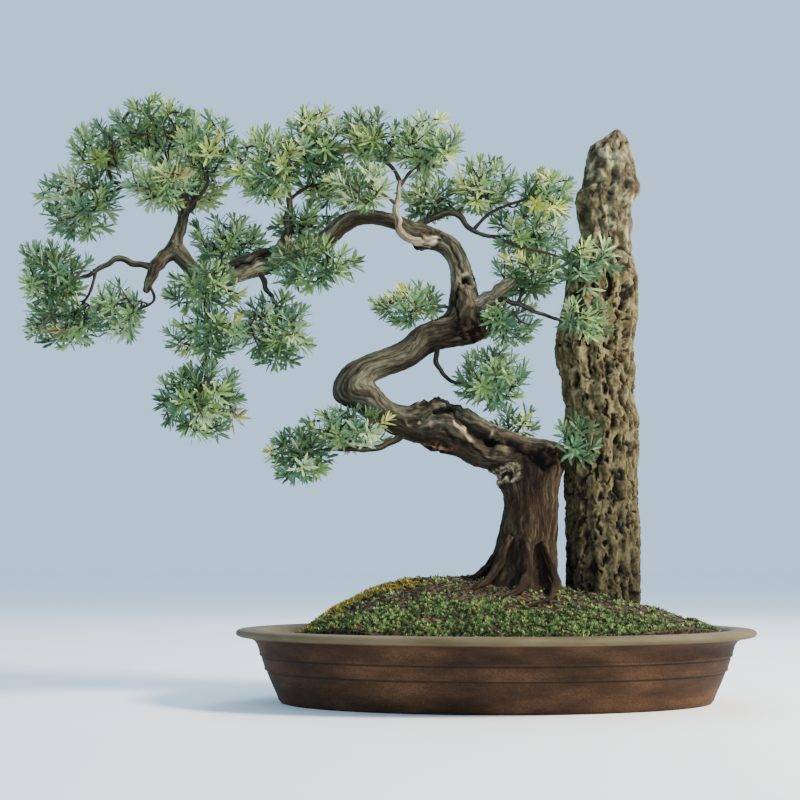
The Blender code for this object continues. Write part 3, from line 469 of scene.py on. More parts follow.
def new_material(name, roughness, specular):
    """A material, its shader, and the node function bound to its tree."""
    material = bpy.data.materials.new(name)
    material.use_nodes = True
    shader = material.node_tree.nodes["Principled BSDF"]
    feed(shader, {"Roughness": roughness, "Specular IOR Level": specular})
    return material, shader, partial(add_node, material.node_tree)


def unglazed_stoneware(settings):
    """Unglazed stoneware, thrown and wood-fired: matt, with kiln clouds, iron specks and a pale dry lip."""
    material, shader, add = new_material("unglazed_stoneware", 0.7, 0.15)
    place = add("TexCoord").outputs["Object"]
    # Kiln clouds are about 120 mm across, and drawn out along the wall by the wheel.
    drawn = add("Mapping", {"Vector": place, "Scale": (1, 1, WHEEL_DRAW)})
    clouds = add("TexNoise", {"Vector": drawn, "Scale": 1 / 0.12, "Detail": 5, "Roughness": 0.62})
    body = add("ValToRGB", {"Fac": clouds}, [
        (0.3, "25170F"), (0.5, settings.clay_colour), (0.72, "573D28")])
    # Grit is about 1 mm, and drawn at 2 mm so that it shows.
    grit = add("TexNoise", {"Vector": place, "Scale": 1 / 0.002, "Detail": 2})
    specks = add("ValToRGB", {"Fac": grit}, [(0.38, grey(0.6)), (0.52, grey(1.0)), (0.66, grey(1.3))])
    speckled = add("Mix", {0: 0.75, MIX_A: body, MIX_B: specks}, data_type="RGBA", blend_type="MULTIPLY")
    height = add("SeparateXYZ", {"Vector": place}).outputs["Z"]
    lip = add("MapRange", {"Value": height, "From Min": LIP_FOOT, "From Max": LIP_TOP},
              interpolation_type="SMOOTHSTEP")
    dry = add("ValToRGB", {"Fac": clouds}, [(0.35, "544A34"), (0.6, settings.lip_colour)])
    worn = add("Math", {0: lip, 1: 0.85}, operation="MULTIPLY")
    colour = add("Mix", {0: worn, MIX_A: speckled, MIX_B: dry}, data_type="RGBA")
    # A dark line of painted shade in each groove under a raised line.
    for groove in POT_GROOVES:
        groove_shade = add("Math", {0: height, 1: groove, 2: POT_GROOVE_SHADE}, operation="COMPARE")
        amount = add("Math", {0: groove_shade, 1: 0.65}, operation="MULTIPLY")
        colour = add("Mix", {0: amount, MIX_A: colour, MIX_B: linear("1C1410")}, data_type="RGBA")
    # Throwing lines are about 25 mm apart, which is 4 mm for each of the wave's radians, and never level.
    lines = add("TexWave", {"Vector": drawn, "Scale": 1 / (WHEEL_DRAW * 0.004 * 20),
                            "Distortion": 1.2, "Detail": 2, "Detail Scale": 2.0},
                bands_direction="Z").outputs["Fac"]
    relief = add("Math", {0: grit, 1: lines}, operation="ADD")
    bump = add("Bump", {"Height": relief, "Strength": 0.35, "Distance": 0.5 * MM})
    feed(shader, {"Base Color": colour, "Normal": bump})
    return material


def potting_soil(settings):
    """Loam and bark humus, damp in its hollows: dull, crumbly, nearly black where it is wet."""
    material, shader, add = new_material("potting_soil", 0.95, 0.1)
    place = add("TexCoord").outputs["Object"]
    # Crumbs are about 5 mm, and drift in patches of 18 mm.
    crumbs = add("TexVoronoi", {"Vector": place, "Scale": 1 / 0.005})
    drift = add("TexNoise", {"Vector": place, "Scale": 1 / 0.018, "Detail": 6, "Roughness": 0.7})
    mixed = add("Math", {0: crumbs, 1: drift}, operation="MULTIPLY")
    colour = add("ValToRGB", {"Fac": mixed}, [
        (0.04, "120E0A"), (0.22, settings.soil_colour), (0.42, "554C3A")])
    bump = add("Bump", {"Height": mixed, "Strength": 0.8, "Distance": 2 * MM})
    feed(shader, {"Base Color": colour, "Normal": bump})
    return material


def weathered_limestone(settings):
    """Limestone etched by water: chalky grey skin on top, ochre in the flutes, painted shade near black in
    the pits, and painted highlights on the crests.
    """
    material, shader, add = new_material("weathered_limestone", 0.9, 0.25)
    place = add("TexCoord").outputs["Object"]
    pit = add("Attribute", attribute_name="pit").outputs["Fac"]
    crest = add("Attribute", attribute_name="crest").outputs["Fac"]
    # Flutes run down the stone, about 11 mm apart and 26 mm long, and their crests carry a painted
    # highlight.
    drawn = add("Mapping", {"Vector": place, "Scale": (1, 1, 0.42)})
    streaks = add("TexNoise", {"Vector": drawn, "Scale": 1 / 0.011, "Detail": 7,
                               "Roughness": 0.7, "Distortion": 0.5})
    streaked = add("Mix", {0: 0.3, 2: streaks, 3: crest}, data_type="FLOAT")
    tone = add("ValToRGB", {"Fac": streaked}, [
        (0.3, "1E160D"), (0.43, "463A24"), (0.55, settings.stone_colour), (0.7, "807655")])
    # The skin's patches are about 20 mm across.
    patches = add("TexNoise", {"Vector": place, "Scale": 1 / 0.02, "Detail": 7, "Roughness": 0.68})
    # The painted highlight on crests and pebbles lightens the skin's patches too.
    mottled = add("Mix", {0: 0.3, 2: patches, 3: crest}, data_type="FLOAT")
    skin = add("ValToRGB", {"Fac": mottled}, [
        (0.3, "33291A"), (0.42, "564D36"), (0.54, "6F6A4E"), (0.68, "A59E7C")])
    height = add("SeparateXYZ", {"Vector": place}).outputs["Z"]
    top = add("MapRange", {"Value": height, "From Min": CHALK_FOOT, "From Max": CHALK_TOP},
              interpolation_type="SMOOTHSTEP")
    chalk = add("Math", {0: top, 1: 0.8}, operation="MULTIPLY")
    surface = add("Mix", {0: chalk, MIX_A: tone, MIX_B: skin}, data_type="RGBA")
    # The stone grows darker towards its foot.
    foot_dimming = add("MapRange", {"Value": height, "From Min": STONE_DIM_FOOT, "From Max": STONE_DIM_TOP,
                             "To Min": 0.36, "To Max": 1.0})
    dimmed = add("Mix", {0: 1.0, MIX_A: surface, MIX_B: foot_dimming}, data_type="RGBA", blend_type="MULTIPLY")
    # Painted shade, near black, in the pits, the crack, between the pebbles and in the nodules' holes.
    colour = add("Mix", {0: pit, MIX_A: dimmed, MIX_B: linear("171009")}, data_type="RGBA")
    relief = add("Math", {0: patches, 1: streaks}, operation="ADD")
    bump = add("Bump", {"Height": relief, "Strength": 0.9, "Distance": 2.5 * MM})
    feed(shader, {"Base Color": colour, "Normal": bump})
    return material


def old_bark(settings):
    """Thin bark on old wood: grey-olive skin with brown patches, bare at wounds, with painted shade near
    black in its clefts and furrows and darker on its undersides.
    """
    material, shader, add = new_material("old_bark", 0.88, 0.12)
    # The grain attribute runs round the limb and, drawn out, along it.
    along = add("Attribute", attribute_name="grain").outputs["Vector"]
    place = add("TexCoord").outputs["Object"]
    amounts = {name: add("Attribute", attribute_name=name).outputs["Fac"]
               for name in ("furrow", "under", "dark", "pale", "rust")}
    # Threads of bark are about 4 mm wide. Flakes and lichen are 12 mm wide and drawn out along the limb.
    threads = add("TexNoise", {"Vector": along, "Scale": 1 / 0.004, "Detail": 5,
                               "Roughness": 0.7, "Distortion": 0.6})
    patches = add("TexNoise", {"Vector": along, "Scale": 1 / 0.012, "Detail": 7,
                               "Roughness": 0.68, "Distortion": 0.3})
    share = add("Mix", {0: 0.62, 2: threads, 3: patches}, data_type="FLOAT")
    greys = add("ValToRGB", {"Fac": share}, [
        (0.38, "221B13"), (0.46, "3D362B"), (0.53, settings.bark_colour), (0.62, "807E69")])
    browns = add("ValToRGB", {"Fac": share}, [
        (0.38, "110B07"), (0.46, "231A11"), (0.53, "3B2F21"), (0.62, "5B4F3B")])
    # The bark is grey on high, and brown from the trunk's first bend down.
    height = add("SeparateXYZ", {"Vector": place}).outputs["Z"]
    low = add("MapRange", {"Value": height, "From Min": GREY_FOOT, "From Max": BROWN_TOP},
              interpolation_type="SMOOTHSTEP")
    colour = add("Mix", {0: low, MIX_A: greys, MIX_B: browns}, data_type="RGBA")
    wood = add("ValToRGB", {"Fac": threads}, [
        (0.36, "5C4C38"), (0.5, settings.driftwood_colour), (0.64, "E0D3B6")])
    rust = add("ValToRGB", {"Fac": patches}, [(0.4, "1C120C"), (0.52, "4A3222"), (0.66, "A07C58")])
    # The furrow layer and the under layer paint shade into the furrows and onto the undersides; the dark
    # layer paints shade in hollows, clefts and at the foot, besides the dark of dead wood, roots and burls.
    layers = [("furrow", 0.7, linear("261D13")), ("under", 0.74, linear("20170F")), ("pale", 1.0, wood),
              ("rust", 0.9, rust), ("dark", 1.0, linear("0E0A07"))]
    for name, most, layer in layers:
        amount = add("Math", {0: amounts[name], 1: most}, operation="MULTIPLY")
        colour = add("Mix", {0: amount, MIX_A: colour, MIX_B: layer}, data_type="RGBA")
    bump = add("Bump", {"Height": share, "Strength": 0.9, "Distance": 2.2 * MM})
    feed(shader, {"Base Color": colour, "Normal": bump})
    return material


def plain_finish(name, colour, roughness, specular):
    """A finish of one base colour, for small things that are dealt their colours piece by piece."""
    material, shader, _ = new_material(name, roughness, specular)
    feed(shader, {"Base Color": colour})
    return material


# ---------------------------------------------------------------- settings
def colour_setting(name, description, code):
    return bpy.props.FloatVectorProperty(name=name, description=description, subtype="COLOR", size=4,
                                         min=0, max=1, default=linear(code))


def length_setting(name, description, value):
    return bpy.props.FloatProperty(name=name, description=description, subtype="DISTANCE", unit="LENGTH",
                                   min=0, precision=4, default=value)


class PotSettings(bpy.types.PropertyGroup):
    clay_colour: colour_setting("Clay", "Fired clay of the pot's wall", "3D2919")
    lip_colour: colour_setting("Lip", "Dry, pale clay of the lip", "665D45")


class GroundSettings(bpy.types.PropertyGroup):
    soil_colour: colour_setting("Soil", "Dry crumbs of the potting soil", "30271C")
    crumb_height: length_setting("Crumb height", "How far crumbs of soil stand up", 2.6 * MM)
    moss_blade: length_setting("Moss blade", "Length of a blade of moss", 6.5 * MM)
    moss_tufts: bpy.props.IntProperty(name="Moss tufts", description="Tufts of moss on the mound",
                                      min=0, default=15500)
    litter: bpy.props.IntProperty(name="Litter", description="Chips and fallen leaves on the mound",
                                  min=0, default=1500)


class StoneSettings(bpy.types.PropertyGroup):
    stone_colour: colour_setting("Stone", "Limestone between its pits", "554D2F")
    pit_depth: length_setting("Pit depth", "Depth of the deepest pits", 6 * MM)
    flute_depth: length_setting("Flute depth", "Depth of the fine flutes that run down the stone", 2 * MM)


class BarkSettings(bpy.types.PropertyGroup):
    bark_colour: colour_setting("Bark", "Grey skin of the bark", "5A5744")
    driftwood_colour: colour_setting("Dead wood", "Bare weathered wood", "9C8F70")
    fibre_width: length_setting("Fibre width", "Width of a thread of bark", 6 * MM)
    relief: length_setting("Relief", "How far threads stand up on the thick trunk", 1.5 * MM)


class LeafSettings(bpy.types.PropertyGroup):
    length: length_setting("Length", "Length of a grown leaf", 31 * MM)
    width: length_setting("Width", "Width of a grown leaf", 4.9 * MM)
    tuft_leaves: bpy.props.IntProperty(name="Leaves a tuft", description="Leaves at a twig's end",
                                       min=3, default=16)
    tuft_room: bpy.props.FloatProperty(name="Tuft room", description="Room for a tuft, in litres",
                                       min=0.01, default=0.034)


class StageSettings(bpy.types.PropertyGroup):
    floor_colour: colour_setting("Floor", "Plain pale floor", "FBFCFD")
    sky_colour: colour_setting("Surround", "Pale surround that fills the shadows", "AECFEC")
    key_power: bpy.props.FloatProperty(name="Key", description="Power of the key light", subtype="POWER",
                                       unit="POWER", min=0, default=330)


SETTINGS = {
    "bonsai_pot": PotSettings,
    "bonsai_ground": GroundSettings,
    "bonsai_stone": StoneSettings,
    "bonsai_bark": BarkSettings,
    "bonsai_leaf": LeafSettings,
    "bonsai_stage": StageSettings,
}


# ---------------------------------------------------------------- meshes
def new_piece(name, points, faces, materials, slot, replaces):
    """A piece of the object from its points and faces. It rides on the body and stands for CAD nodes."""
    mesh = bpy.data.meshes.new(name)
    mesh.from_pydata(points, [], faces)
    mesh.validate()
    item = bpy.data.objects.new(name, mesh)
    bpy.context.scene.collection.objects.link(item)
    for material in materials:
        mesh.materials.append(material)
    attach(item, BODY)
    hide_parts(*replaces)
    return item


def ring_faces(rows, columns):
    """Faces between rings of points that close round, with a cap at each end."""
    row = np.arange(rows - 1)[:, None] * columns
    here = np.arange(columns)[None, :]
    after = (here + 1) % columns
    squares = np.stack([row + here, row + after, row + columns + after, row + columns + here], axis=-1)
    last = (rows - 1) * columns
    return squares.reshape(-1, 4).tolist() + [list(range(columns))[::-1], list(range(last, last + columns))]


def set_amount(item, name, values):
    """Writes a number for each point, which a material reads."""
    attribute = item.data.attributes.new(name, "FLOAT", "POINT")
    attribute.data.foreach_set("value", np.asarray(values, np.float32))


def set_places(item, name, values):
    """Writes a place for each point, which a material reads."""
    attribute = item.data.attributes.new(name, "FLOAT_VECTOR", "POINT")
    attribute.data.foreach_set("vector", np.asarray(values, np.float32).ravel())


def round_off(item, degrees):
    """Shades a piece smoothly, but for edges sharper than an angle."""
    item.data.shade_smooth()
    item.data.set_sharp_from_angle(angle=math.radians(degrees))


def mm(values):
    return Vector(values) * MM


def smooth_step(values):
    held = np.clip(values, 0, 1)
    return held * held * (3 - 2 * held)


# ---------------------------------------------------------------- curves
def curve_point(a, b, c, d, t):
    """A point on the Catmull-Rom curve from b to c."""
    return 0.5 * (2 * b + (c - a) * t + (2 * a - 5 * b + 4 * c - d) * t ** 2
                  + (3 * b - a - 3 * c + d) * t ** 3)


def smooth_route(points, steps):
    ends = [2 * points[0] - points[1]] + points + [2 * points[-1] - points[-2]]
    route = []
    for a, b, c, d in zip(ends, ends[1:], ends[2:], ends[3:]):
        route += [curve_point(a, b, c, d, step / steps) for step in range(steps)]
    return route + [points[-1]]


def fine_rows(rows, spacing):
    """Rows of numbers, the first three of them a place, with more between them along a smooth curve."""
    rows = np.array(rows, float)
    ends = np.vstack([2 * rows[0] - rows[1], rows, 2 * rows[-1] - rows[-2]])
    fine = []
    for a, b, c, d in zip(ends, ends[1:], ends[2:], ends[3:]):
        steps = max(2, math.ceil(np.linalg.norm(c[:3] - b[:3]) / spacing))
        fine += [curve_point(a, b, c, d, step / steps) for step in range(steps)]
    return np.array(fine + [rows[-1]])


def lengths_along(route):
    total = [0.0]
    for a, b in zip(route, route[1:]):
        total.append(total[-1] + (b - a).length)
    return total


def point_at(route, share):
    """The point a share of the way along a route."""
    along = lengths_along(route)
    target = share * along[-1]
    for i in range(len(route) - 1):
        if along[i + 1] >= target:
            return route[i].lerp(route[i + 1], (target - along[i]) / (along[i + 1] - along[i]))
    return route[-1].copy()


def carried_axes(route):
    """Cross axes that are carried along a route without twist."""
    ends = [route[0]] + list(route) + [route[-1]]
    across = Vector((0, 1, 0))
    axes = []
    for before, after in zip(ends, ends[2:]):
        ahead = (after - before).normalized()
        across = across - ahead * across.dot(ahead)
        if across.length < 0.1:
            across = ahead.orthogonal()
        across.normalize()
        axes.append((across.copy(), ahead.cross(across)))
    return axes


# ---------------------------------------------------------------- pot
def pot_points():
    """Rings of the pot: ovals that are wider or narrower by the profile's inset."""
    profile = np.array(POT_PROFILE) * MM
    turn = 2 * math.pi * np.arange(POT_SEGMENTS) / POT_SEGMENTS
    rings = []
    for inset, height in profile:
        rings.append(np.stack([(POT_HALF_LENGTH - inset) * np.cos(turn),
                               (POT_HALF_DEPTH - inset) * np.sin(turn),
                               np.full(POT_SEGMENTS, height)], axis=1))
    return np.concatenate(rings)


class BONSAI_OT_pot(bpy.types.Operator):
    """Oval stoneware pot with a rolled lip and two raised lines"""
    bl_idname = "bonsai.pot"
    bl_label = "Pot"

    def execute(self, context):
        settings = context.scene.bonsai_pot
        item = new_piece("stoneware_pot", pot_points().tolist(), ring_faces(len(POT_PROFILE), POT_SEGMENTS),
                         [unglazed_stoneware(settings)], "stoneware", ["pot"])
        round_off(item, 40)
        return {"FINISHED"}


# ---------------------------------------------------------------- mound
def mound_height(x, y):
    """The mound's plain form."""
    side = MOUND_LEFT if x < MOUND_X else MOUND_RIGHT
    along = max(0.0, 1 - ((x - MOUND_X) / side) ** 2)
    across = max(0.0, 1 - (y / MOUND_DEPTH) ** 2)
    return SOIL_LEVEL + MOUND_RISE * along * across


def edge_share(x, y):
    """How far out a place lies: 0 in the middle and 1 at the pot's wall."""
    return math.hypot(x / SOIL_HALF_LENGTH, y / SOIL_HALF_DEPTH)


def soil_place(share, turn):
    """The place in plan that lies a share of the way out on a bearing."""
    return share * SOIL_HALF_LENGTH * math.cos(turn), share * SOIL_HALF_DEPTH * math.sin(turn)


def ground_height(x, y, crumb):
    """The mound's surface with lumps of 50 mm and crumbs of 11 mm, which die out at the pot's wall."""
    fade = min(1.0, max(0.0, (1 - edge_share(x, y)) / 0.08))
    lumps = noise.fractal(Vector((x / 0.05, y / 0.05, 3.1)), 0.9, 2.0, 3)
    crumbs = noise.fractal(Vector((x / 0.011, y / 0.011, 7.7)), 0.7, 2.1, 3)
    return mound_height(x, y) + fade * crumb * (1.7 * lumps + 0.9 * crumbs)


def soil_points(crumb):
    turn = 2 * math.pi * np.arange(MOUND_SEGMENTS) / MOUND_SEGMENTS
    points = []
    for ring in range(MOUND_RINGS):
        for angle in turn:
            x, y = soil_place((ring + 1) / MOUND_RINGS, angle)
            points.append((x, y, ground_height(x, y, crumb)))
    for angle in turn:
        x = (SOIL_HALF_LENGTH - SOIL_SKIRT / 3) * math.cos(angle)
        y = (SOIL_HALF_DEPTH - SOIL_SKIRT / 3) * math.sin(angle)
        points.append((x, y, SOIL_LEVEL - SOIL_SKIRT))
    return points


def patchiness(x, y, size, seed):
    """A number that wanders about 0 over the ground, in patches of a size in metres."""
    return noise.fractal(Vector((x / size, y / size, seed)), 0.8, 2.0, 3)


def moss_kind(x, y, rng):
    """Which moss grows at a place, or None where litter covers the soil."""
    patch = patchiness(x, y, 0.06, 11.3)
    fine = patchiness(x, y, 0.018, 4.9)
    ridge = RIDGE_X[0] < x < RIDGE_X[1] and RIDGE_Y[0] < y < RIDGE_Y[1]
    if ridge and patch + 0.5 * fine + (RIDGE_X[1] - x) / RIDGE_LENGTH > 0.25:
        return "ochre" if rng.random() < 0.82 else "dark"
    bare = abs(y) < BARE_HALF_DEPTH + BARE_WANDER * patch and BARE_X[0] < x < BARE_X[1]
    if bare and rng.random() > 0.12:
        return None
    if patch + fine < -0.7:
        return None
    if x < DRY_X and rng.random() < 0.4:
        return "ochre" if rng.random() < 0.4 else "dark"
    shade = patchiness(x, y, 0.03, 21.7)
    weights = [0.2 + max(0, shade), 0.45, 0.35 - min(0, shade), 0.015]
    return rng.choices(list(MOSS_COLOURS), weights)[0]


MOSS_COLOURS = {"bright": "9AAC66", "green": "738A54", "dark": "425232", "ochre": "9A8A3C"}
MOSS_BLADES = 7


def moss_tuft(place, size, rng, points, faces):
    """A star of kite-shaped blades that stand up from one place."""
    start = rng.uniform(0, 2 * math.pi)
    for blade in range(MOSS_BLADES):
        turn = start + blade * GOLDEN_ANGLE
        lean = rng.uniform(0.35, 1.25)
        length = size * rng.uniform(0.6, 1.15)
        out = Vector((math.cos(turn), math.sin(turn), 0))
        side = Vector((-out.y, out.x, 0)) * length * 0.19
        aim = out * math.sin(lean) + Vector((0, 0, math.cos(lean)))
        first = len(points)
        middle = place + aim * length * 0.55
        points += [place - Vector((0, 0, 1.5 * MM)), middle - side, place + aim * length, middle + side]
        faces.append((first, first + 1, first + 2, first + 3))


def strewn_pieces(prefix, strewn, colours, roughness, specular):
    """Pieces of moss or litter on the mound: one of each kind, in a plain colour of its own."""
    for kind, (points, faces) in strewn.items():
        finish = plain_finish(prefix + kind, linear(colours[kind]), roughness, specular)
        new_piece(prefix + kind, points, faces, [finish], "moss_soil", ["mossy_mound"])


class BONSAI_OT_soil(bpy.types.Operator):
    """Mound of crumbly potting soil in the pot"""
    bl_idname = "bonsai.soil"
    bl_label = "Soil"

    def execute(self, context):
        settings = context.scene.bonsai_ground
        item = new_piece("soil_mound", soil_points(settings.crumb_height),
                         ring_faces(MOUND_RINGS + 1, MOUND_SEGMENTS), [potting_soil(settings)],
                         "moss_soil", ["mossy_mound"])
        item.data.flip_normals()
        round_off(item, 60)
        return {"FINISHED"}


class BONSAI_OT_moss(bpy.types.Operator):
    """Moss on the mound, in tufts of small blades"""
    bl_idname = "bonsai.moss"
    bl_label = "Moss"

    def execute(self, context):
        settings = context.scene.bonsai_ground
        rng = random.Random("moss")
        grown = {kind: ([], []) for kind in MOSS_COLOURS}
        for _ in range(settings.moss_tufts):
            turn = rng.uniform(0, 2 * math.pi)
            x, y = soil_place(math.sqrt(rng.random()) * MOSS_REACH, turn)
            kind = moss_kind(x, y, rng)
            if kind:
                place = Vector((x, y, ground_height(x, y, settings.crumb_height)))
                moss_tuft(place, settings.moss_blade * rng.uniform(0.7, 1.25), rng, *grown[kind])
        strewn_pieces("moss_", grown, MOSS_COLOURS, 0.8, 0.25)
        return {"FINISHED"}


LITTER_COLOURS = {"brown": "261C13", "grey": "4A4236", "straw": "75623F"}
CHIP_SIDES = 5
# The length of ground, in metres, that a chip follows.
CHIP_FOOT = 0.01


def chip(place, aim, length, width, points, faces):
    """A sliver of bark or twig that lies on the soil: thickest near its middle, and flat-ended."""
    side = aim.cross(Vector((0, 0, 1))).normalized()
    top = side.cross(aim).normalized()
    first = len(points)
    for end, girth in ((-0.5, 0.5), (0.1, 1.0), (0.5, 0.35)):
        middle = place + aim * length * end
        for turn in range(CHIP_SIDES):
            angle = 2 * math.pi * turn / CHIP_SIDES
            out = side * math.cos(angle) + top * math.sin(angle) * 0.6
            points.append(middle + girth * width / 2 * out)
    for face in ring_faces(3, CHIP_SIDES):
        faces.append([first + corner for corner in face])


class BONSAI_OT_litter(bpy.types.Operator):
    """Chips of bark, bits of twig and straw on the mound"""
    bl_idname = "bonsai.litter"
    bl_label = "Litter"

    def execute(self, context):
        settings = context.scene.bonsai_ground
        rng = random.Random("litter")
        strewn = {kind: ([], []) for kind in LITTER_COLOURS}
        for _ in range(settings.litter):
            x = rng.uniform(*LITTER_X) * MM
            y = max(-1.0, min(1.0, rng.gauss(0, 0.5))) * LITTER_HALF_DEPTH * MM
            if edge_share(x, y) > LITTER_REACH:
                continue
            kind = rng.choices(list(LITTER_COLOURS), [0.62, 0.28, 0.1])[0]
            turn = rng.uniform(0, 2 * math.pi)
            aim = Vector((math.cos(turn), math.sin(turn), 0))
            ahead = ground_height(x + aim.x * CHIP_FOOT, y + aim.y * CHIP_FOOT, settings.crumb_height)
            here = ground_height(x, y, settings.crumb_height)
            slope = (ahead - here) / CHIP_FOOT + rng.uniform(-0.3, 0.3)
            aim = Vector((aim.x, aim.y, slope)).normalized()
            chip(Vector((x, y, here + 1 * MM)), aim, rng.uniform(6, 24) * MM, rng.uniform(1.6, 4.6) * MM,
                 *strewn[kind])
        strewn_pieces("litter_", strewn, LITTER_COLOURS, 0.85, 0.3)
        return {"FINISHED"}


# ---------------------------------------------------------------- stone
def stone_relief(angle, place, girth, settings):
    """How far the stone's skin stands out, how dark the painted shade in its pits, crack and hollows is,
    and how strong the painted highlight on its crests is.
    """
    x, y, z = place
    # Ribs are 11 mm apart and 40 mm long, lumps 30 mm wide and grit 6 mm, and pits 9.5 mm wide and
    # 26 mm long. Pebbles are 18 mm.
    low = 1 - float(smooth_step((z - STONE_CRACK + 8 * MM) / (16 * MM)))
    wander = noise.noise_vector(place / 0.015) * STONE_WANDER
    across = math.cos(angle) * girth + wander.x
    deep = math.sin(angle) * girth + wander.y
    down = z + wander.z
    ribs = 1 - 2.4 * abs(noise.fractal(Vector((across / 0.011, deep / 0.011, down / 0.04)), 0.8, 2.1, 4))
    lumps = noise.fractal(Vector((x / 0.03, y / 0.03, z / 0.045)), 0.9, 2.0, 3)
    rough = noise.fractal(place / 0.006, 0.8, 2.0, 2)
    gaps = noise.fractal(Vector((across / 0.0095 + 5, deep / 0.0095, down / 0.026)), 0.8, 2.0, 3)
    pit = float(smooth_step((gaps - 0.1) / 0.36)) * (0.45 + 0.55 * low)
    cells, _ = noise.voronoi(Vector((across / 0.018, deep / 0.018, down / 0.023)))
    pebble = max(0.0, 1 - 1.5 * cells[0])
    bed = STONE_CRACK + 9 * MM * noise.noise(Vector((2 * math.cos(angle), 2 * math.sin(angle), 0.4)))
    broken = noise.noise(Vector((math.cos(angle) * 1.3, math.sin(angle), 2.7)))
    crack = math.exp(-((z - bed) / (3.2 * MM)) ** 2) * float(smooth_step(0.95 + 1.2 * broken))
    rise = settings.flute_depth * (ribs * (0.35 + 0.65 * low) + 0.6 * lumps + 0.4 * rough)
    rise += (1 - low) * 3.5 * MM * pebble - settings.pit_depth * max(pit, 0.8 * crack)
    # Painted shade, near black, in the pits, in the crack and between the pebbles.
    shade = max(pit, crack, 0.7 * (1 - low) * max(0.0, 0.5 - 2 * pebble))
    if y < STONE_Y:
        for nodule_x, height, radius, out in STONE_NODULES:
            apart = math.hypot(x + wander.x - nodule_x * MM, down - height * MM) / (radius * MM)
            rise += out * MM * math.exp(-apart ** 2)
            # Painted shade in the nodules' holes.
            if out < 0:
                shade = max(shade, math.exp(-apart ** 2))
    # Painted highlight on the ribs' and pebbles' crests, with painted shade between them.
    crest = 0.5 + 0.5 * low * ribs + (1 - low) * (pebble - 0.3) + 0.3 * rough
    return rise, min(1.0, shade), min(1.0, max(0.0, crest))


def stone_swell(angle, z):
    """How far ridges and flutes widen the stone at one bearing and height in mm, as a share."""
    depth = sum(size * math.sin(count * angle + z / turn) for size, count, turn in STONE_RIDGES)
    return depth * (SMOOTH_SIDE_SHARE + (1 - SMOOTH_SIDE_SHARE) * abs(math.sin(angle)))


def stone_surface(settings):
    noise.seed_set(NOISE_SEED)
    ribs = np.array(STONE_RIBS, float)
    heights = np.linspace(ribs[0, 1], ribs[-1, 1], STONE_RINGS)
    centres, widths, depths = (np.interp(heights, ribs[:, 1], ribs[:, i]) for i in (0, 2, 3))
    points = []
    pits = []
    crest_highlights = []
    for centre, z, width, depth in zip(centres, heights, widths, depths):
        for step in range(STONE_SEGMENTS):
            angle = 2 * math.pi * step / STONE_SEGMENTS
            swell = 1 + stone_swell(angle, z)
            out = Vector((math.cos(angle), math.sin(angle), 0))
            plain = Vector((centre * MM + out.x * width / 2 * MM * swell,
                            STONE_Y + out.y * depth / 2 * MM * swell, z * MM))
            rise, pit, crest = stone_relief(angle, plain, (width + depth) / 4 * MM, settings)
            small = min(1.0, min(width, depth) / 60)
            points.append(plain + out * (rise * small - 1 * MM))
            pits.append(pit)
            crest_highlights.append(crest)
    return points, pits, crest_highlights


class BONSAI_OT_stone(bpy.types.Operator):
    """Standing stone, fluted and pitted by water"""
    bl_idname = "bonsai.stone"
    bl_label = "Standing stone"

    def execute(self, context):
        settings = context.scene.bonsai_stone
        points, pits, crest_highlights = stone_surface(settings)
        item = new_piece("standing_stone", points, ring_faces(STONE_RINGS, STONE_SEGMENTS),
                         [weathered_limestone(settings)], "stone", ["stone"])
        # The pit attribute holds the painted shade.
        set_amount(item, "pit", pits)
        set_amount(item, "crest", crest_highlights)
        round_off(item, 70)
        return {"FINISHED"}


# ---------------------------------------------------------------- bark
# A limb's ring: its centre, cross axes and radii, its place along and its swell at each bearing.
Ring = namedtuple("Ring", "centre first second half_width half_depth along swell")


def distance_to(points, route):
    """Each point's distance, in the front view, to a route of one or more places."""
    route = np.array(route, float) * MM
    points = points[:, [0, 2]]
    if len(route) == 1:
        return np.linalg.norm(points - route[0], axis=1)
    nearest = np.full(len(points), np.inf)
    for a, b in zip(route, route[1:]):
        run = b - a
        share = np.clip((points - a) @ run / (run @ run), 0, 1)
        nearest = np.minimum(nearest, np.linalg.norm(points - a - share[:, None] * run, axis=1))
    return nearest


def hump(values, place, width):
    """A bell curve of height 1."""
    return np.exp(-((values - place) / width) ** 2)


def soil_and_shade(points):
    """How far splashed soil and painted shade darken the trunk's foot."""
    return 0.62 * smooth_step((SOIL_AND_SHADE_TOP - points[:, 2]) / SOIL_AND_SHADE_FADE)


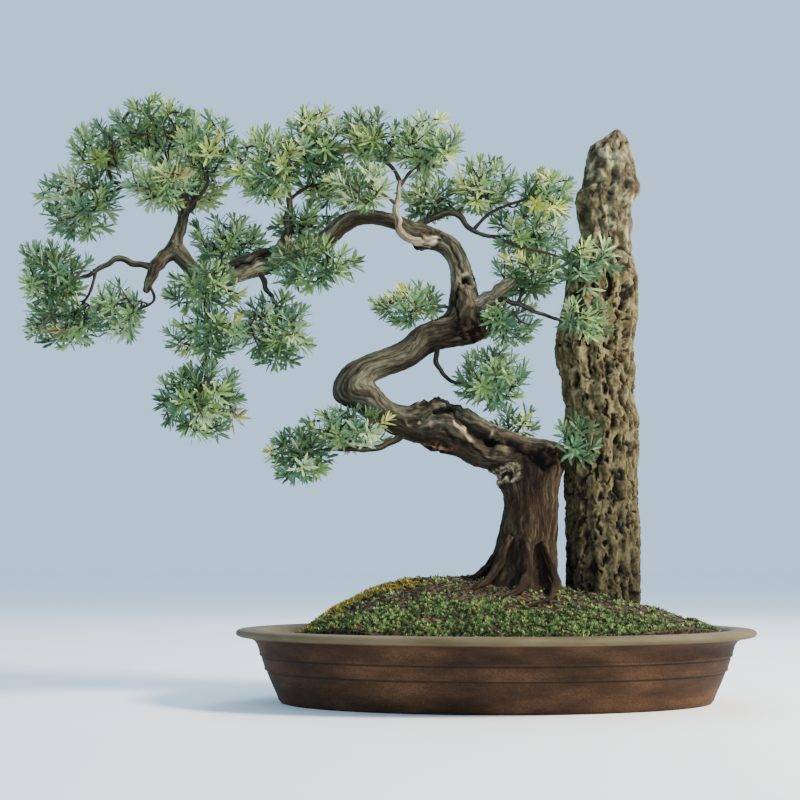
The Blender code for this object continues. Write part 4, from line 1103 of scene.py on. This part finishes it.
def mark_relief(points, normals, marks):
    """The height that wounds, burls and clefts add, and how dark, pale or rusty they are. The dark inside
    hollows and clefts is painted shade.
    """
    noise.seed_set(NOISE_SEED)
    rise = np.zeros(len(points))
    amounts = {name: np.zeros(len(points)) for name in ("dark", "pale", "rust")}
    rough = np.array([noise.fractal(Vector(point) / 0.008, 0.8, 2.0, 3) for point in points])
    wander = np.array([noise.noise_vector(Vector(point) / 0.013) for point in points]) * MARK_WANDER
    facing = smooth_step((0.4 - normals[:, 1]) / 0.3)
    for mark in marks:
        out = distance_to(points + wander, mark.points) / (mark.width * MM) * (1 + 0.3 * rough)
        depth = mark.depth * MM * facing
        if mark.kind == "hollow":
            rise += depth * (0.35 * hump(out, 1.4, 0.3) - smooth_step((1.2 - out) * 1.4))
            # Painted shade inside the hollow.
            amounts["dark"] += min(1.0, mark.depth / 6) * facing * smooth_step((1.2 - out) * 1.6)
            amounts["pale"] += 0.6 * facing * hump(out, 1.5, 0.3)
        elif mark.kind == "callus":
            rise += depth * hump(out, 0.95, 0.35)
            amounts["pale"] += 0.75 * facing * hump(out, 1.0, 0.28) * smooth_step(0.75 + 1.5 * rough)
            amounts["dark"] += 0.7 * facing * hump(out, 1.5, 0.25)
        elif mark.kind == "stub":
            rise += depth * smooth_step((1.3 - out) * 2) * (1 - 0.5 * hump(out, 0, 0.5))
            amounts["pale"] += facing * smooth_step((1.15 - out) * 2.5) * (1 - 0.5 * hump(out, 0, 0.4))
            amounts["dark"] += 0.8 * facing * hump(out, 1.6, 0.25)
        elif mark.kind == "scab":
            rise += depth * hump(out, 0.9, 0.5)
            amounts["pale"] += 0.6 * facing * smooth_step(1.3 - out)
            amounts["rust"] += 0.7 * facing * hump(out, 1.1, 0.5)
        elif mark.kind == "burl":
            rise += depth * hump(out, 0, 1.05) * (1 + 0.6 * rough)
            amounts["rust"] += 0.9 * facing * hump(out, 0, 1.3)
            amounts["dark"] += facing * hump(out, 0, 1.4) * smooth_step(0.6 - 2 * rough)
        elif mark.kind == "cleft":
            rise += depth * (0.3 * hump(out, 1.6, 0.5) - hump(out, 0, 0.75))
            # Painted shade along the cleft.
            amounts["dark"] += min(0.95, mark.depth / 6) * facing * hump(out, 0, 0.75)
        elif mark.kind == "shade":
            amounts["dark"] += mark.depth / 10 * smooth_step(1.5 - out)
            amounts["rust"] += 0.3 * smooth_step(1.5 - out)
        else:
            rise += 0.4 * depth * hump(out, 0.9, 0.5)
            amounts["pale"] += 0.8 * facing * smooth_step(1.5 - out)
    return rise, {name: np.clip(values, 0, 1) for name, values in amounts.items()}


# How pale and how dark each sort of wood is all over.
WOODS = {"bark": (0.0, 0.0), "driftwood": (0.45, 0.0), "dead": (0.0, 0.62), "root": (0.0, 0.3)}


def bark_piece(name, rings, settings, wood, replaces, marks=()):
    """A limb with its bark, through rings that each say how the limb's plain form swells there."""
    columns = len(rings[0].swell)
    turn = 2 * math.pi * np.arange(columns) / columns
    plain = []
    normals = []
    grain = []
    furrow_shades = []
    rises = []
    for centre, first, second, half_width, half_depth, along, swell in rings:
        girth = (half_width + half_depth) / 2
        coarse = min(1.0, girth / COARSE_GIRTH)
        strength = settings.relief * (0.25 + 0.75 * coarse)
        fibre = settings.fibre_width * (0.5 + 0.5 * coarse)
        for step, angle in enumerate(turn):
            factor = 1 + swell[step]
            place = centre + first * math.cos(angle) * half_width * factor
            place += second * math.sin(angle) * half_depth * factor
            normal = first * math.cos(angle) / half_width + second * math.sin(angle) / half_depth
            plain.append(place)
            normals.append(normal.normalized())
            sway = min(1.0, SWAY_GIRTH / girth)
            turned = angle + sway * (0.5 * noise.noise(place / 0.05) + 0.2 * noise.noise(place / 0.018))
            ring_place = Vector((math.cos(turned), math.sin(turned), 0)) * girth
            # Ridges are 50 mm long, flakes 9 mm, lumps 28 mm and sinews 120 mm.
            grown = ring_place / fibre + Vector((0, 0, along / 0.05))
            ridge = 1 - 2.4 * abs(noise.fractal(grown, 0.8, 2.1, 4))
            rough = noise.fractal(place / 0.009, 0.8, 2.0, 3)
            lumps = noise.fractal(place / 0.028, 0.9, 2.0, 2)
            sinew = noise.noise(Vector((math.cos(turned) * 1.6, math.sin(turned) * 1.6, along / 0.12)))
            rises.append(strength * (0.6 * ridge + 0.8 * rough + lumps) + girth * 0.08 * sinew)
            # Painted shade in the furrows between the threads of bark.
            furrow_shades.append(max(0.0, min(1.0, 0.1 - 0.7 * ridge - 0.4 * rough)))
            grain.append((ring_place.x, ring_place.y, along * 0.13))
    plain = np.array(plain)
    normals = np.array(normals)
    rise, amounts = mark_relief(plain, normals, marks)
    amounts["pale"] = np.maximum(amounts["pale"], WOODS[wood][0])
    amounts["dark"] = np.maximum(amounts["dark"], WOODS[wood][1])
    points = plain + normals * (np.array(rises) + rise)[:, None]
    item = new_piece(name, points.tolist(), ring_faces(len(rings), columns), [old_bark_material(settings)],
                     "driftwood" if wood == "driftwood" else "bark", replaces)
    set_amount(item, "furrow", furrow_shades)
    # Painted shade on the limbs' undersides, the darker the more they face down.
    set_amount(item, "under", smooth_step((0.15 - normals[:, 2]) / 0.9))
    if marks:
        # Splashed soil and painted shade darken the trunk's foot.
        amounts["dark"] = np.maximum(amounts["dark"], soil_and_shade(points))
    for kind, values in amounts.items():
        set_amount(item, kind, values)
    set_places(item, "grain", grain)
    round_off(item, 65)


def old_bark_material(settings):
    """The one bark finish that all limbs share."""
    return bpy.data.materials.get("old_bark") or old_bark(settings)


def root_swell(angle, height):
    """How far the root flare widens the trunk's foot at one bearing and height."""
    fade = min(1.0, math.exp((FLARE_TOP - height) / ROOT_FADE))
    bearing = math.degrees(angle) % 360
    lobe = 0.0
    for root in ROOT_BEARINGS:
        apart = abs((bearing - root + 180) % 360 - 180)
        lobe = max(lobe, math.exp(-(apart / ROOT_WIDTH) ** 2))
    return ROOT_FLARE * fade * lobe


def whole_trunk():
    """The sections' ribs as one row of ribs, with each shared one once."""
    ribs = []
    for section in TRUNK.values():
        ribs += section if not ribs else section[1:]
    return ribs


# How a limb's end is rounded: how far on as a share of its radius, and how much is left of it.
ROUND_END = [(0.30, 0.95), (0.55, 0.83), (0.75, 0.66), (0.88, 0.45), (0.95, 0.2)]


def rounded(rings, ahead):
    """Rings that round a limb's end off."""
    centre, first, second, half_width, half_depth, along, swell = rings[-1]
    extra = []
    for share, shrink in ROUND_END:
        step = ahead * half_width * share
        extra.append(Ring(centre + step, first, second, half_width * shrink, half_depth * shrink,
                          along + step.length, swell))
    return rings + extra


def trunk_rings():
    rows = fine_rows(whole_trunk(), TRUNK_SPACING)
    turn = 2 * math.pi * np.arange(TRUNK_SEGMENTS) / TRUNK_SEGMENTS
    rings = []
    along = 0.0
    before = None
    for x, y, z, width, depth, heading in rows:
        centre = mm((x, y, z))
        along += (centre - before).length if before else 0.0
        before = centre
        angle = math.radians(heading)
        right = Vector((math.sin(angle), 0, -math.cos(angle)))
        swell = [BARK_FLUTE * math.sin(FLUTES * a + along * FLUTE_TURN_PER_M) + root_swell(a, centre.z)
                 for a in turn]
        rings.append(Ring(centre, right, Vector((0, 1, 0)), width / 2 * MM, depth / 2 * MM, along, swell))
    ahead = Vector((math.cos(angle), 0, math.sin(angle)))
    return rounded(rings, ahead)


class BONSAI_OT_trunk(bpy.types.Operator):
    """Trunk from its root flare to the fork, in one skin of bark"""
    bl_idname = "bonsai.trunk"
    bl_label = "Trunk"

    def execute(self, context):
        bark_piece("trunk_bark", trunk_rings(), context.scene.bonsai_bark, "bark", list(TRUNK), MARKS)
        return {"FINISHED"}


def bough_rings(bough):
    """Rings of a bough, which kinks a little where it once branched."""
    route = [mm(row) for row in fine_rows(bough.route, BOUGH_SPACING)]
    along = lengths_along(route)
    rings = []
    for point, (across, other), distance in zip(route, carried_axes(route), along):
        share = distance / along[-1]
        radius = bough.root_radius + (bough.tip_radius - bough.root_radius) * share
        radius *= 1 + KNOT_SWELL * math.sin(KNOT_WAVES * share + len(bough.name))
        # The bough has a collar at its root, and knots about 11 mm apart.
        knot = noise.noise(Vector((distance / 0.011, bough.root_radius, 0.5)))
        collar = 1 + 0.3 * math.exp(-distance / 0.012) + 0.16 * knot
        radius *= MM * collar * BOUGH_SLIMNESS
        kink = KINK * math.sin(math.pi * share)
        centre = point + kink * noise.noise(Vector((distance / 0.021, 2.5, bough.root_radius))) * across
        centre += kink * noise.noise(Vector((distance / 0.021, bough.root_radius, 7.5))) * other
        rings.append(Ring(centre, across, other, radius, radius, distance, [0.0] * BOUGH_SEGMENTS))
    return rounded(rings, (route[-1] - route[-2]).normalized())


class BONSAI_OT_boughs(bpy.types.Operator):
    """Main boughs, stubs and dead wood"""
    bl_idname = "bonsai.boughs"
    bl_label = "Boughs"

    def execute(self, context):
        for bough in BOUGHS:
            bark_piece(bough.name + "_bark", bough_rings(bough), context.scene.bonsai_bark, bough.wood,
                       [bough.name])
        return {"FINISHED"}


def root_route(root):
    """The places of a root, which comes down the trunk's foot and lies half sunk on the mound."""
    route = []
    for step, (x, y) in enumerate(root.route):
        lift = ROOT_RISE * (1 - step / (len(root.route) - 1)) ** 3
        route.append((x, y, (mound_height(x * MM, y * MM) + lift) / MM))
    return route


class BONSAI_OT_roots(bpy.types.Operator):
    """Surface roots that spread from the trunk's foot over the mound"""
    bl_idname = "bonsai.roots"
    bl_label = "Roots"

    def execute(self, context):
        for root in ROOTS:
            bough = Bough(root.name, "root", root.root_radius, root.tip_radius, root_route(root))
            bark_piece(root.name, bough_rings(bough), context.scene.bonsai_bark, "root", ["trunk_foot"])
        return {"FINISHED"}


# ---------------------------------------------------------------- foliage
Obstacle = namedtuple("Obstacle", "tree low high")


def node_obstacle(name):
    """A CAD node, to keep clear of: its surface and its box."""
    mesh = frame["nodes"][name].data
    points = [vertex.co.copy() for vertex in mesh.vertices]
    tree = BVHTree.FromPolygons(points, [tuple(face.vertices) for face in mesh.polygons])
    return Obstacle(tree, *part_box(name))


def near_box(point, other, room):
    return all(other.low[axis] - room <= point[axis] <= other.high[axis] + room for axis in range(3))


def clear_of(point, obstacles, room):
    """Whether a place lies outside all obstacles by some room."""
    for other in obstacles:
        if near_box(point, other, room):
            found, normal, _, distance = other.tree.find_nearest(point)
            if distance < room or (point - found).dot(normal) < 0:
                return False
    return True


def reach_in(mass, point):
    """Distance from a mass's centre, where 1 is the surface of its ellipsoid."""
    offset = point - mm(mass.centre)
    return math.sqrt(sum((offset[axis] / (mass.half[axis] * MM)) ** 2 for axis in range(3)))


def in_space(mass, point):
    """Whether a place lies in a mass and deeper in it than in any other."""
    own = reach_in(mass, point)
    if own > 1:
        return False
    return all(own + SPACE_MARGIN < reach_in(other, point) for other in MASSES if other is not mass)


def random_tip(mass, rng, most):
    """A place anywhere in a mass, out to a share of its reach."""
    bearing = rng.uniform(0, 2 * math.pi)
    lift = rng.uniform(-1, 1)
    level = math.sqrt(1 - lift * lift)
    reach = most * rng.random() ** (1 / 3)
    offset = (reach * level * math.cos(bearing), reach * level * math.sin(bearing), reach * lift)
    return mm([mass.centre[axis] + mass.half[axis] * offset[axis] for axis in range(3)])


def choose_tips(mass, rng, obstacles, tips, count, most, candidates):
    """Adds tips spread evenly through the mass: each new one is the candidate with most room."""
    for _ in range(count):
        best = None
        best_room = 0.0
        for _ in range(candidates):
            point = random_tip(mass, rng, most)
            room = min([(point - tip).length for tip in tips] + [1.0])
            fits = in_box(point, TIP_MARGIN) and in_space(mass, point)
            if room > best_room and fits and clear_of(point, obstacles, LIMB_CLEARANCE):
                best = point
                best_room = room
        if best is not None:
            tips.append(best)
    return tips


def leader_route(mass, routes, tips):
    """The stem, past its hub and on to the tip that it points at best."""
    parent = routes[mass.parent]
    start = point_at(parent, mass.share)
    via = [mm(point) for point in mass.via]
    onward = (via[-1] - (via[-2] if len(via) > 1 else start)).normalized()
    leader_tip = max(tips, key=lambda tip: (tip - via[-1]).normalized().dot(onward))
    tips.remove(leader_tip)
    return smooth_route([start] + via + [leader_tip], 5)


def nodes_on(route, before, shares):
    """Places that a twig may grow from, each with its distance back to the stem's root."""
    length = lengths_along(route)[-1]
    return [(point_at(route, share), before + share * length) for share in shares]


def bent_twig(start, tip, rng):
    """A twig's route, which bows and kinks a little."""
    run = tip - start
    side = run.orthogonal().normalized()
    other = run.normalized().cross(side)
    bow = rng.uniform(0, 2 * math.pi)
    lean = (side * math.cos(bow) + other * math.sin(bow)) * run.length * rng.uniform(0.05, 0.14)
    first = start + run * 0.36 + lean + Vector((0, 0, -0.04 * run.length))
    second = start + run * 0.7 + lean * 0.5
    return smooth_route([start, first, second, tip], 3)


def twig_tube(route, root_radius, tip_radius, sides, points, faces):
    """A tapering tube with a closed end, added to the points and faces of its piece."""
    along = lengths_along(route)
    first = len(points)
    for point, (across, other), distance in zip(route, carried_axes(route), along):
        radius = root_radius + (tip_radius - root_radius) * distance / along[-1]
        radius *= 1 + 0.12 * math.sin(distance / 0.004)
        for step in range(sides):
            angle = 2 * math.pi * step / sides
            points.append(point + radius * (math.cos(angle) * across + math.sin(angle) * other))
    for face in ring_faces(len(route), sides):
        faces.append([first + corner for corner in face])


# A leaf's rows: their places along it and half widths, as shares.
LEAF_ROWS = [(0.3, 0.86), (0.76, 0.94)]
# How far a leaf's sides fold up, as a share of its width.
LEAF_KEEL = 0.16


def leaf_template():
    """Points of a flat leaf as (along, across, up) shares, with faces and whether each is underside."""
    points = [(0, 0, 0)]
    for along, half in LEAF_ROWS:
        points += [(along, -half, 0.5), (along, 0, 0.12), (along, half, 0.5), (along, 0, -0.5)]
    points.append((1, 0, 0.1))
    faces = []
    under = []
    rows = len(LEAF_ROWS)
    for side in range(4):
        after = (side + 1) % 4
        below = side >= 2
        faces.append((0, 1 + after, 1 + side))
        under.append(below)
        for row in range(rows - 1):
            low = 1 + row * 4
            faces.append((low + side, low + after, low + 4 + after))
            faces.append((low + side, low + 4 + after, low + 4 + side))
            under += [below, below]
        top = 1 + (rows - 1) * 4
        faces.append((top + side, top + after, 1 + rows * 4))
        under.append(below)
    return np.array(points, float), np.array(faces), np.array(under)


Leaf = namedtuple("Leaf", "root aim face length width bend")


def joined_leaves(leaves):
    """Points, faces and undersides of many leaves, each a curled copy of the one template."""
    points, faces, under = leaf_template()
    root, aim, face = (np.array([leaf[i] for leaf in leaves], float) for i in range(3))
    length, width, bend = (np.array([leaf[i] for leaf in leaves], float)[:, None] for i in range(3, 6))
    side = np.cross(aim, face)
    along, across, up = points.T
    placed = root[:, None] + aim[:, None] * (length * along)[..., None]
    placed = placed + side[:, None] * (width / 2 * across)[..., None]
    lift = length * bend * along ** 2 + width * LEAF_KEEL * up
    placed = placed + face[:, None] * lift[..., None]
    first = np.arange(len(leaves))[:, None, None] * len(points)
    return placed.reshape(-1, 3), (faces[None] + first).reshape(-1, 3), np.tile(under, len(leaves))


def tuft_leaves(mass, tip, out, rng, limbs, settings):
    """Leaves in a spiral down the end of a twig, from one that points on to the most spread one."""
    across = out.orthogonal().normalized()
    other = out.cross(across)
    start = rng.uniform(0, 2 * math.pi)
    count = settings.tuft_leaves + rng.randint(-2, 3)
    vigour = rng.uniform(0.84, 1.1)
    leaves = []
    for i in range(count):
        roll = start + i * GOLDEN_ANGLE
        share = i / (count - 1)
        splay = LEAF_SPLAY[0] + (LEAF_SPLAY[1] - LEAF_SPLAY[0]) * share ** 0.8 + rng.uniform(-0.14, 0.14)
        aim = out * math.cos(splay) + (across * math.cos(roll) + other * math.sin(roll)) * math.sin(splay)
        aim = (aim + Vector((0, 0, -0.1 * share))).normalized()
        size = vigour * (0.62 + 0.38 * min(1.0, 3.5 * share)) * rng.uniform(0.88, 1.08)
        root = tip - out * LEAF_STEP * MM * i
        bend = rng.uniform(-0.16, 0.05)
        face = aim.cross(out).cross(aim) if splay > 0.2 else across
        face = face.normalized()
        for shorter in LEAF_SHARES:
            length = settings.length * size * shorter
            end = root + aim * length
            middle = root + aim * length * 0.5
            inside = in_box(end, LEAF_MARGIN) and reach_in(mass, end) < LEAF_REACH
            if inside and all(clear_of(place, limbs, LEAF_CLEARANCE) for place in (end, middle)):
                leaves.append(Leaf(root, aim, face, length, settings.width * (0.8 + 0.2 * size), bend))
                break
    return leaves


# Each tint's upper side, underside, and share of the tufts low and high on the plant.
LEAF_TINTS = {
    "deep": ("435F3A", "627A54", 0.42, 0.17),
    "blue": ("5C825C", "78946E", 0.25, 0.18),
    "mid": ("7E9C5C", "8DA46C", 0.24, 0.32),
    "grey": ("96AE7C", "A1B089", 0.05, 0.18),
    "fresh": ("A8B963", "AFBD7E", 0.03, 0.135),
    "young": ("BCC456", "D0D48A", 0.0, 0.0),
    "old": ("86804A", "A0986C", 0.01, 0.015),
}
# The shaded lower crown ends and the sunlit upper crown starts at these heights.
SHADE_TOP = 720 * MM
SUN_FOOT = 800 * MM


def tuft_tint(tip, rng):
    """The tint dealt to a tuft: young where new shoots stand, and more bright ones up in the sun."""
    if any((tip - mm(shoot)).length < YOUNG_REACH for shoot in YOUNG_SHOOTS):
        return "young" if rng.random() < 0.75 else "fresh"
    sun = float(smooth_step((tip.z - SHADE_TOP) / (SUN_FOOT - SHADE_TOP)))
    shares = [low + sun * (high - low) for _, _, low, high in LEAF_TINTS.values()]
    return rng.choices(list(LEAF_TINTS), shares)[0]


def grow_mass(mass, routes, limbs, done, settings, twigs, leaves):
    """One mass: its stem and the source's twigs first, then finer ones between them."""
    rng = random.Random(mass.name)
    tips = choose_tips(mass, rng, limbs + done, [], mass.tufts, TIP_REACH, TIP_CANDIDATES)
    room = 4 / 3 * math.pi * mass.half[0] * mass.half[1] * mass.half[2] * MM ** 3
    fine = max(2, round(room / (settings.tuft_room * MM)) - len(tips))
    first_tips = list(tips)
    all_tips = choose_tips(mass, rng, limbs, list(tips), fine, FINE_REACH, FINE_CANDIDATES)
    leader = leader_route(mass, routes, first_tips)
    radius = mass.radius * MM
    twig_tube(leader, radius, STEM_TIP_RADIUS, STEM_SIDES, *twigs)
    ends = [(leader[-1], (leader[-1] - leader[-3]).normalized())]
    nodes = nodes_on(leader, 0.0, LEADER_NODES)
    hub = mm(mass.via[-1])
    later = [tip for tip in all_tips if tip not in tips]
    order = sorted(first_tips, key=lambda point: (point - hub).length)
    order += sorted(later, key=lambda point: (point - hub).length)
    for tip in order:
        node = min(nodes, key=lambda place: (tip - place[0]).length + PATH_WEIGHT * place[1])
        route = bent_twig(node[0], tip, rng)
        reach = lengths_along(route)[-1]
        if not all(clear_of(point, limbs, TWIG_CLEARANCE) for point in route[3:]):
            continue
        nodes.remove(node)
        nodes += nodes_on(route, node[1], TWIG_NODES if tip in tips else FINE_NODES)
        nodes += [node] if len(nodes) < 3 else []
        # A longer twig is thicker at its root, but always thinner than its stem.
        root_radius = min(radius * 0.62, 1.3 * MM + reach * 0.022)
        twig_tube(route, root_radius, TWIG_TIP_RADIUS, TWIG_SIDES, *twigs)
        ends.append((tip, (route[-1] - route[-3]).normalized()))
    for tip, ahead in ends:
        outward = (tip - mm(mass.centre)).normalized()
        out = (0.8 * ahead + 0.4 * outward + Vector((0, -0.05, 0.62))).normalized()
        leaves[tuft_tint(tip, rng)] += tuft_leaves(mass, tip, out, rng, limbs, settings)


class BONSAI_OT_foliage(bpy.types.Operator):
    """Twigs and leaves of every mass of the crown"""
    bl_idname = "bonsai.foliage"
    bl_label = "Foliage"

    def execute(self, context):
        settings = context.scene.bonsai_leaf
        routes = {name: [mm(rib[:3]) for rib in ribs] for name, ribs in TRUNK.items()}
        for bough in BOUGHS:
            routes[bough.name] = smooth_route([mm(point) for point in bough.route], 2)
        limbs = [node_obstacle(name) for name in routes]
        done = [node_obstacle(name) for name in ("pot", "stone", "mossy_mound")]
        limbs.append(done[1])
        twigs = ([], [])
        leaves = {tint: [] for tint in LEAF_TINTS}
        for mass in MASSES:
            grow_mass(mass, routes, limbs, done, settings, twigs, leaves)
            done.append(node_obstacle(FOLIAGE_PREFIX + mass.name))
        masses = [FOLIAGE_PREFIX + mass.name for mass in MASSES]
        twig_bark = plain_finish("twig_bark", linear("3B3025"), 0.8, 0.3)
        twig_piece = new_piece("twigs", *twigs, [twig_bark], "bark", masses)
        round_off(twig_piece, 60)
        for tint, (top, under, _, _) in LEAF_TINTS.items():
            points, faces, undersides = joined_leaves(leaves[tint])
            finishes = [plain_finish("leaf_" + tint, linear(top), 0.5, 0.34),
                        plain_finish("leaf_under_" + tint, linear(under), 0.65, 0.2)]
            item = new_piece("foliage_" + tint, points.tolist(), faces.tolist(), finishes, "leaf", masses)
            item.data.polygons.foreach_set("material_index", undersides.astype(np.int32))
            round_off(item, 40)
        return {"FINISHED"}


# ---------------------------------------------------------------- stage
CAMERA_PLACE = (-0.16, -2.45, 0.25)
CAMERA_TILT_UP = math.radians(6)
# Lens and sensor width, in mm.
CAMERA_LENS = 64.845
CAMERA_SENSOR = 36
FLOOR_HALF = 14.0
SURROUND_STRENGTH = 1.5
Lamp = namedtuple("Lamp", "name place aim size power colour")


def add_lamp(lamp):
    light = bpy.data.lights.new(lamp.name, "AREA")
    light.shape = "DISK"
    light.size = lamp.size
    light.energy = lamp.power
    light.color = linear(lamp.colour)[:3]
    item = bpy.data.objects.new(lamp.name, light)
    item.location = lamp.place
    item.rotation_euler = (Vector(lamp.aim) - Vector(lamp.place)).to_track_quat("-Z", "Y").to_euler()
    bpy.context.scene.collection.objects.link(item)


class BONSAI_OT_stage(bpy.types.Operator):
    """Pale floor, soft studio light and the camera"""
    bl_idname = "bonsai.stage"
    bl_label = "Stage"

    def execute(self, context):
        settings = context.scene.bonsai_stage
        mesh = bpy.data.meshes.new("floor")
        corners = [(FLOOR_HALF * x, FLOOR_HALF * y, 0) for x, y in ((-1, -1), (1, -1), (1, 1), (-1, 1))]
        mesh.from_pydata(corners, [], [(0, 1, 2, 3)])
        mesh.materials.append(plain_finish("floor_paper", settings.floor_colour, 0.9, 0.4))
        floor = bpy.data.objects.new("floor", mesh)
        context.scene.collection.objects.link(floor)
        for lamp in [
            Lamp("key", (2.7, -1.15, 2.3), (-0.1, 0, 0.45), 0.8, settings.key_power, "FFF2DE"),
            Lamp("fill", (-2.6, -2.2, 1.3), (-0.2, 0, 0.5), 2.4, settings.key_power * 0.03, "DDEBFF"),
            Lamp("back", (0.6, 2.4, 2.4), (-0.2, 0, 0.6), 1.6, settings.key_power * 0.17, "EAF3FF"),
        ]:
            add_lamp(lamp)
        world = bpy.data.worlds.new("pale_surround")
        world.use_nodes = True
        backdrop = world.node_tree.nodes["Background"]
        backdrop.inputs["Color"].default_value = settings.sky_colour
        backdrop.inputs["Strength"].default_value = SURROUND_STRENGTH
        context.scene.world = world
        camera = bpy.data.objects.new("camera", bpy.data.cameras.new("camera"))
        camera.location = CAMERA_PLACE
        camera.rotation_euler = (math.pi / 2 + CAMERA_TILT_UP, 0, 0)
        camera.data.lens = CAMERA_LENS
        camera.data.sensor_width = CAMERA_SENSOR
        context.scene.collection.objects.link(camera)
        context.scene.camera = camera
        return {"FINISHED"}


OPERATORS = [BONSAI_OT_pot, BONSAI_OT_soil, BONSAI_OT_moss, BONSAI_OT_litter, BONSAI_OT_stone,
             BONSAI_OT_trunk, BONSAI_OT_roots, BONSAI_OT_boughs, BONSAI_OT_foliage, BONSAI_OT_stage]


class BONSAI_PT_parts(bpy.types.Panel):
    """Lists the bonsai's pieces, each with its sizes and colours"""
    bl_idname = "BONSAI_PT_parts"
    bl_label = "Podocarpus bonsai"
    bl_space_type = "VIEW_3D"
    bl_region_type = "UI"
    bl_category = "Bonsai"

    def draw(self, context):
        for name, group in SETTINGS.items():
            box = self.layout.box()
            for setting in group.__annotations__:
                box.prop(getattr(context.scene, name), setting)
        for operator in OPERATORS:
            self.layout.operator(operator.bl_idname)


def register():
    for group in SETTINGS.values():
        bpy.utils.register_class(group)
    for operator in OPERATORS:
        bpy.utils.register_class(operator)
    bpy.utils.register_class(BONSAI_PT_parts)
    for name, group in SETTINGS.items():
        setattr(bpy.types.Scene, name, bpy.props.PointerProperty(type=group))


def unregister():
    for name in SETTINGS:
        delattr(bpy.types.Scene, name)
    for item in [BONSAI_PT_parts, *OPERATORS, *SETTINGS.values()]:
        bpy.utils.unregister_class(item)


def main():
    register()
    bpy.ops.bonsai.stage()
    bpy.ops.bonsai.pot()
    bpy.ops.bonsai.soil()
    bpy.ops.bonsai.moss()
    bpy.ops.bonsai.litter()
    bpy.ops.bonsai.stone()
    bpy.ops.bonsai.trunk()
    bpy.ops.bonsai.roots()
    bpy.ops.bonsai.boughs()
    bpy.ops.bonsai.foliage()


if __name__ == "__main__":
    main()
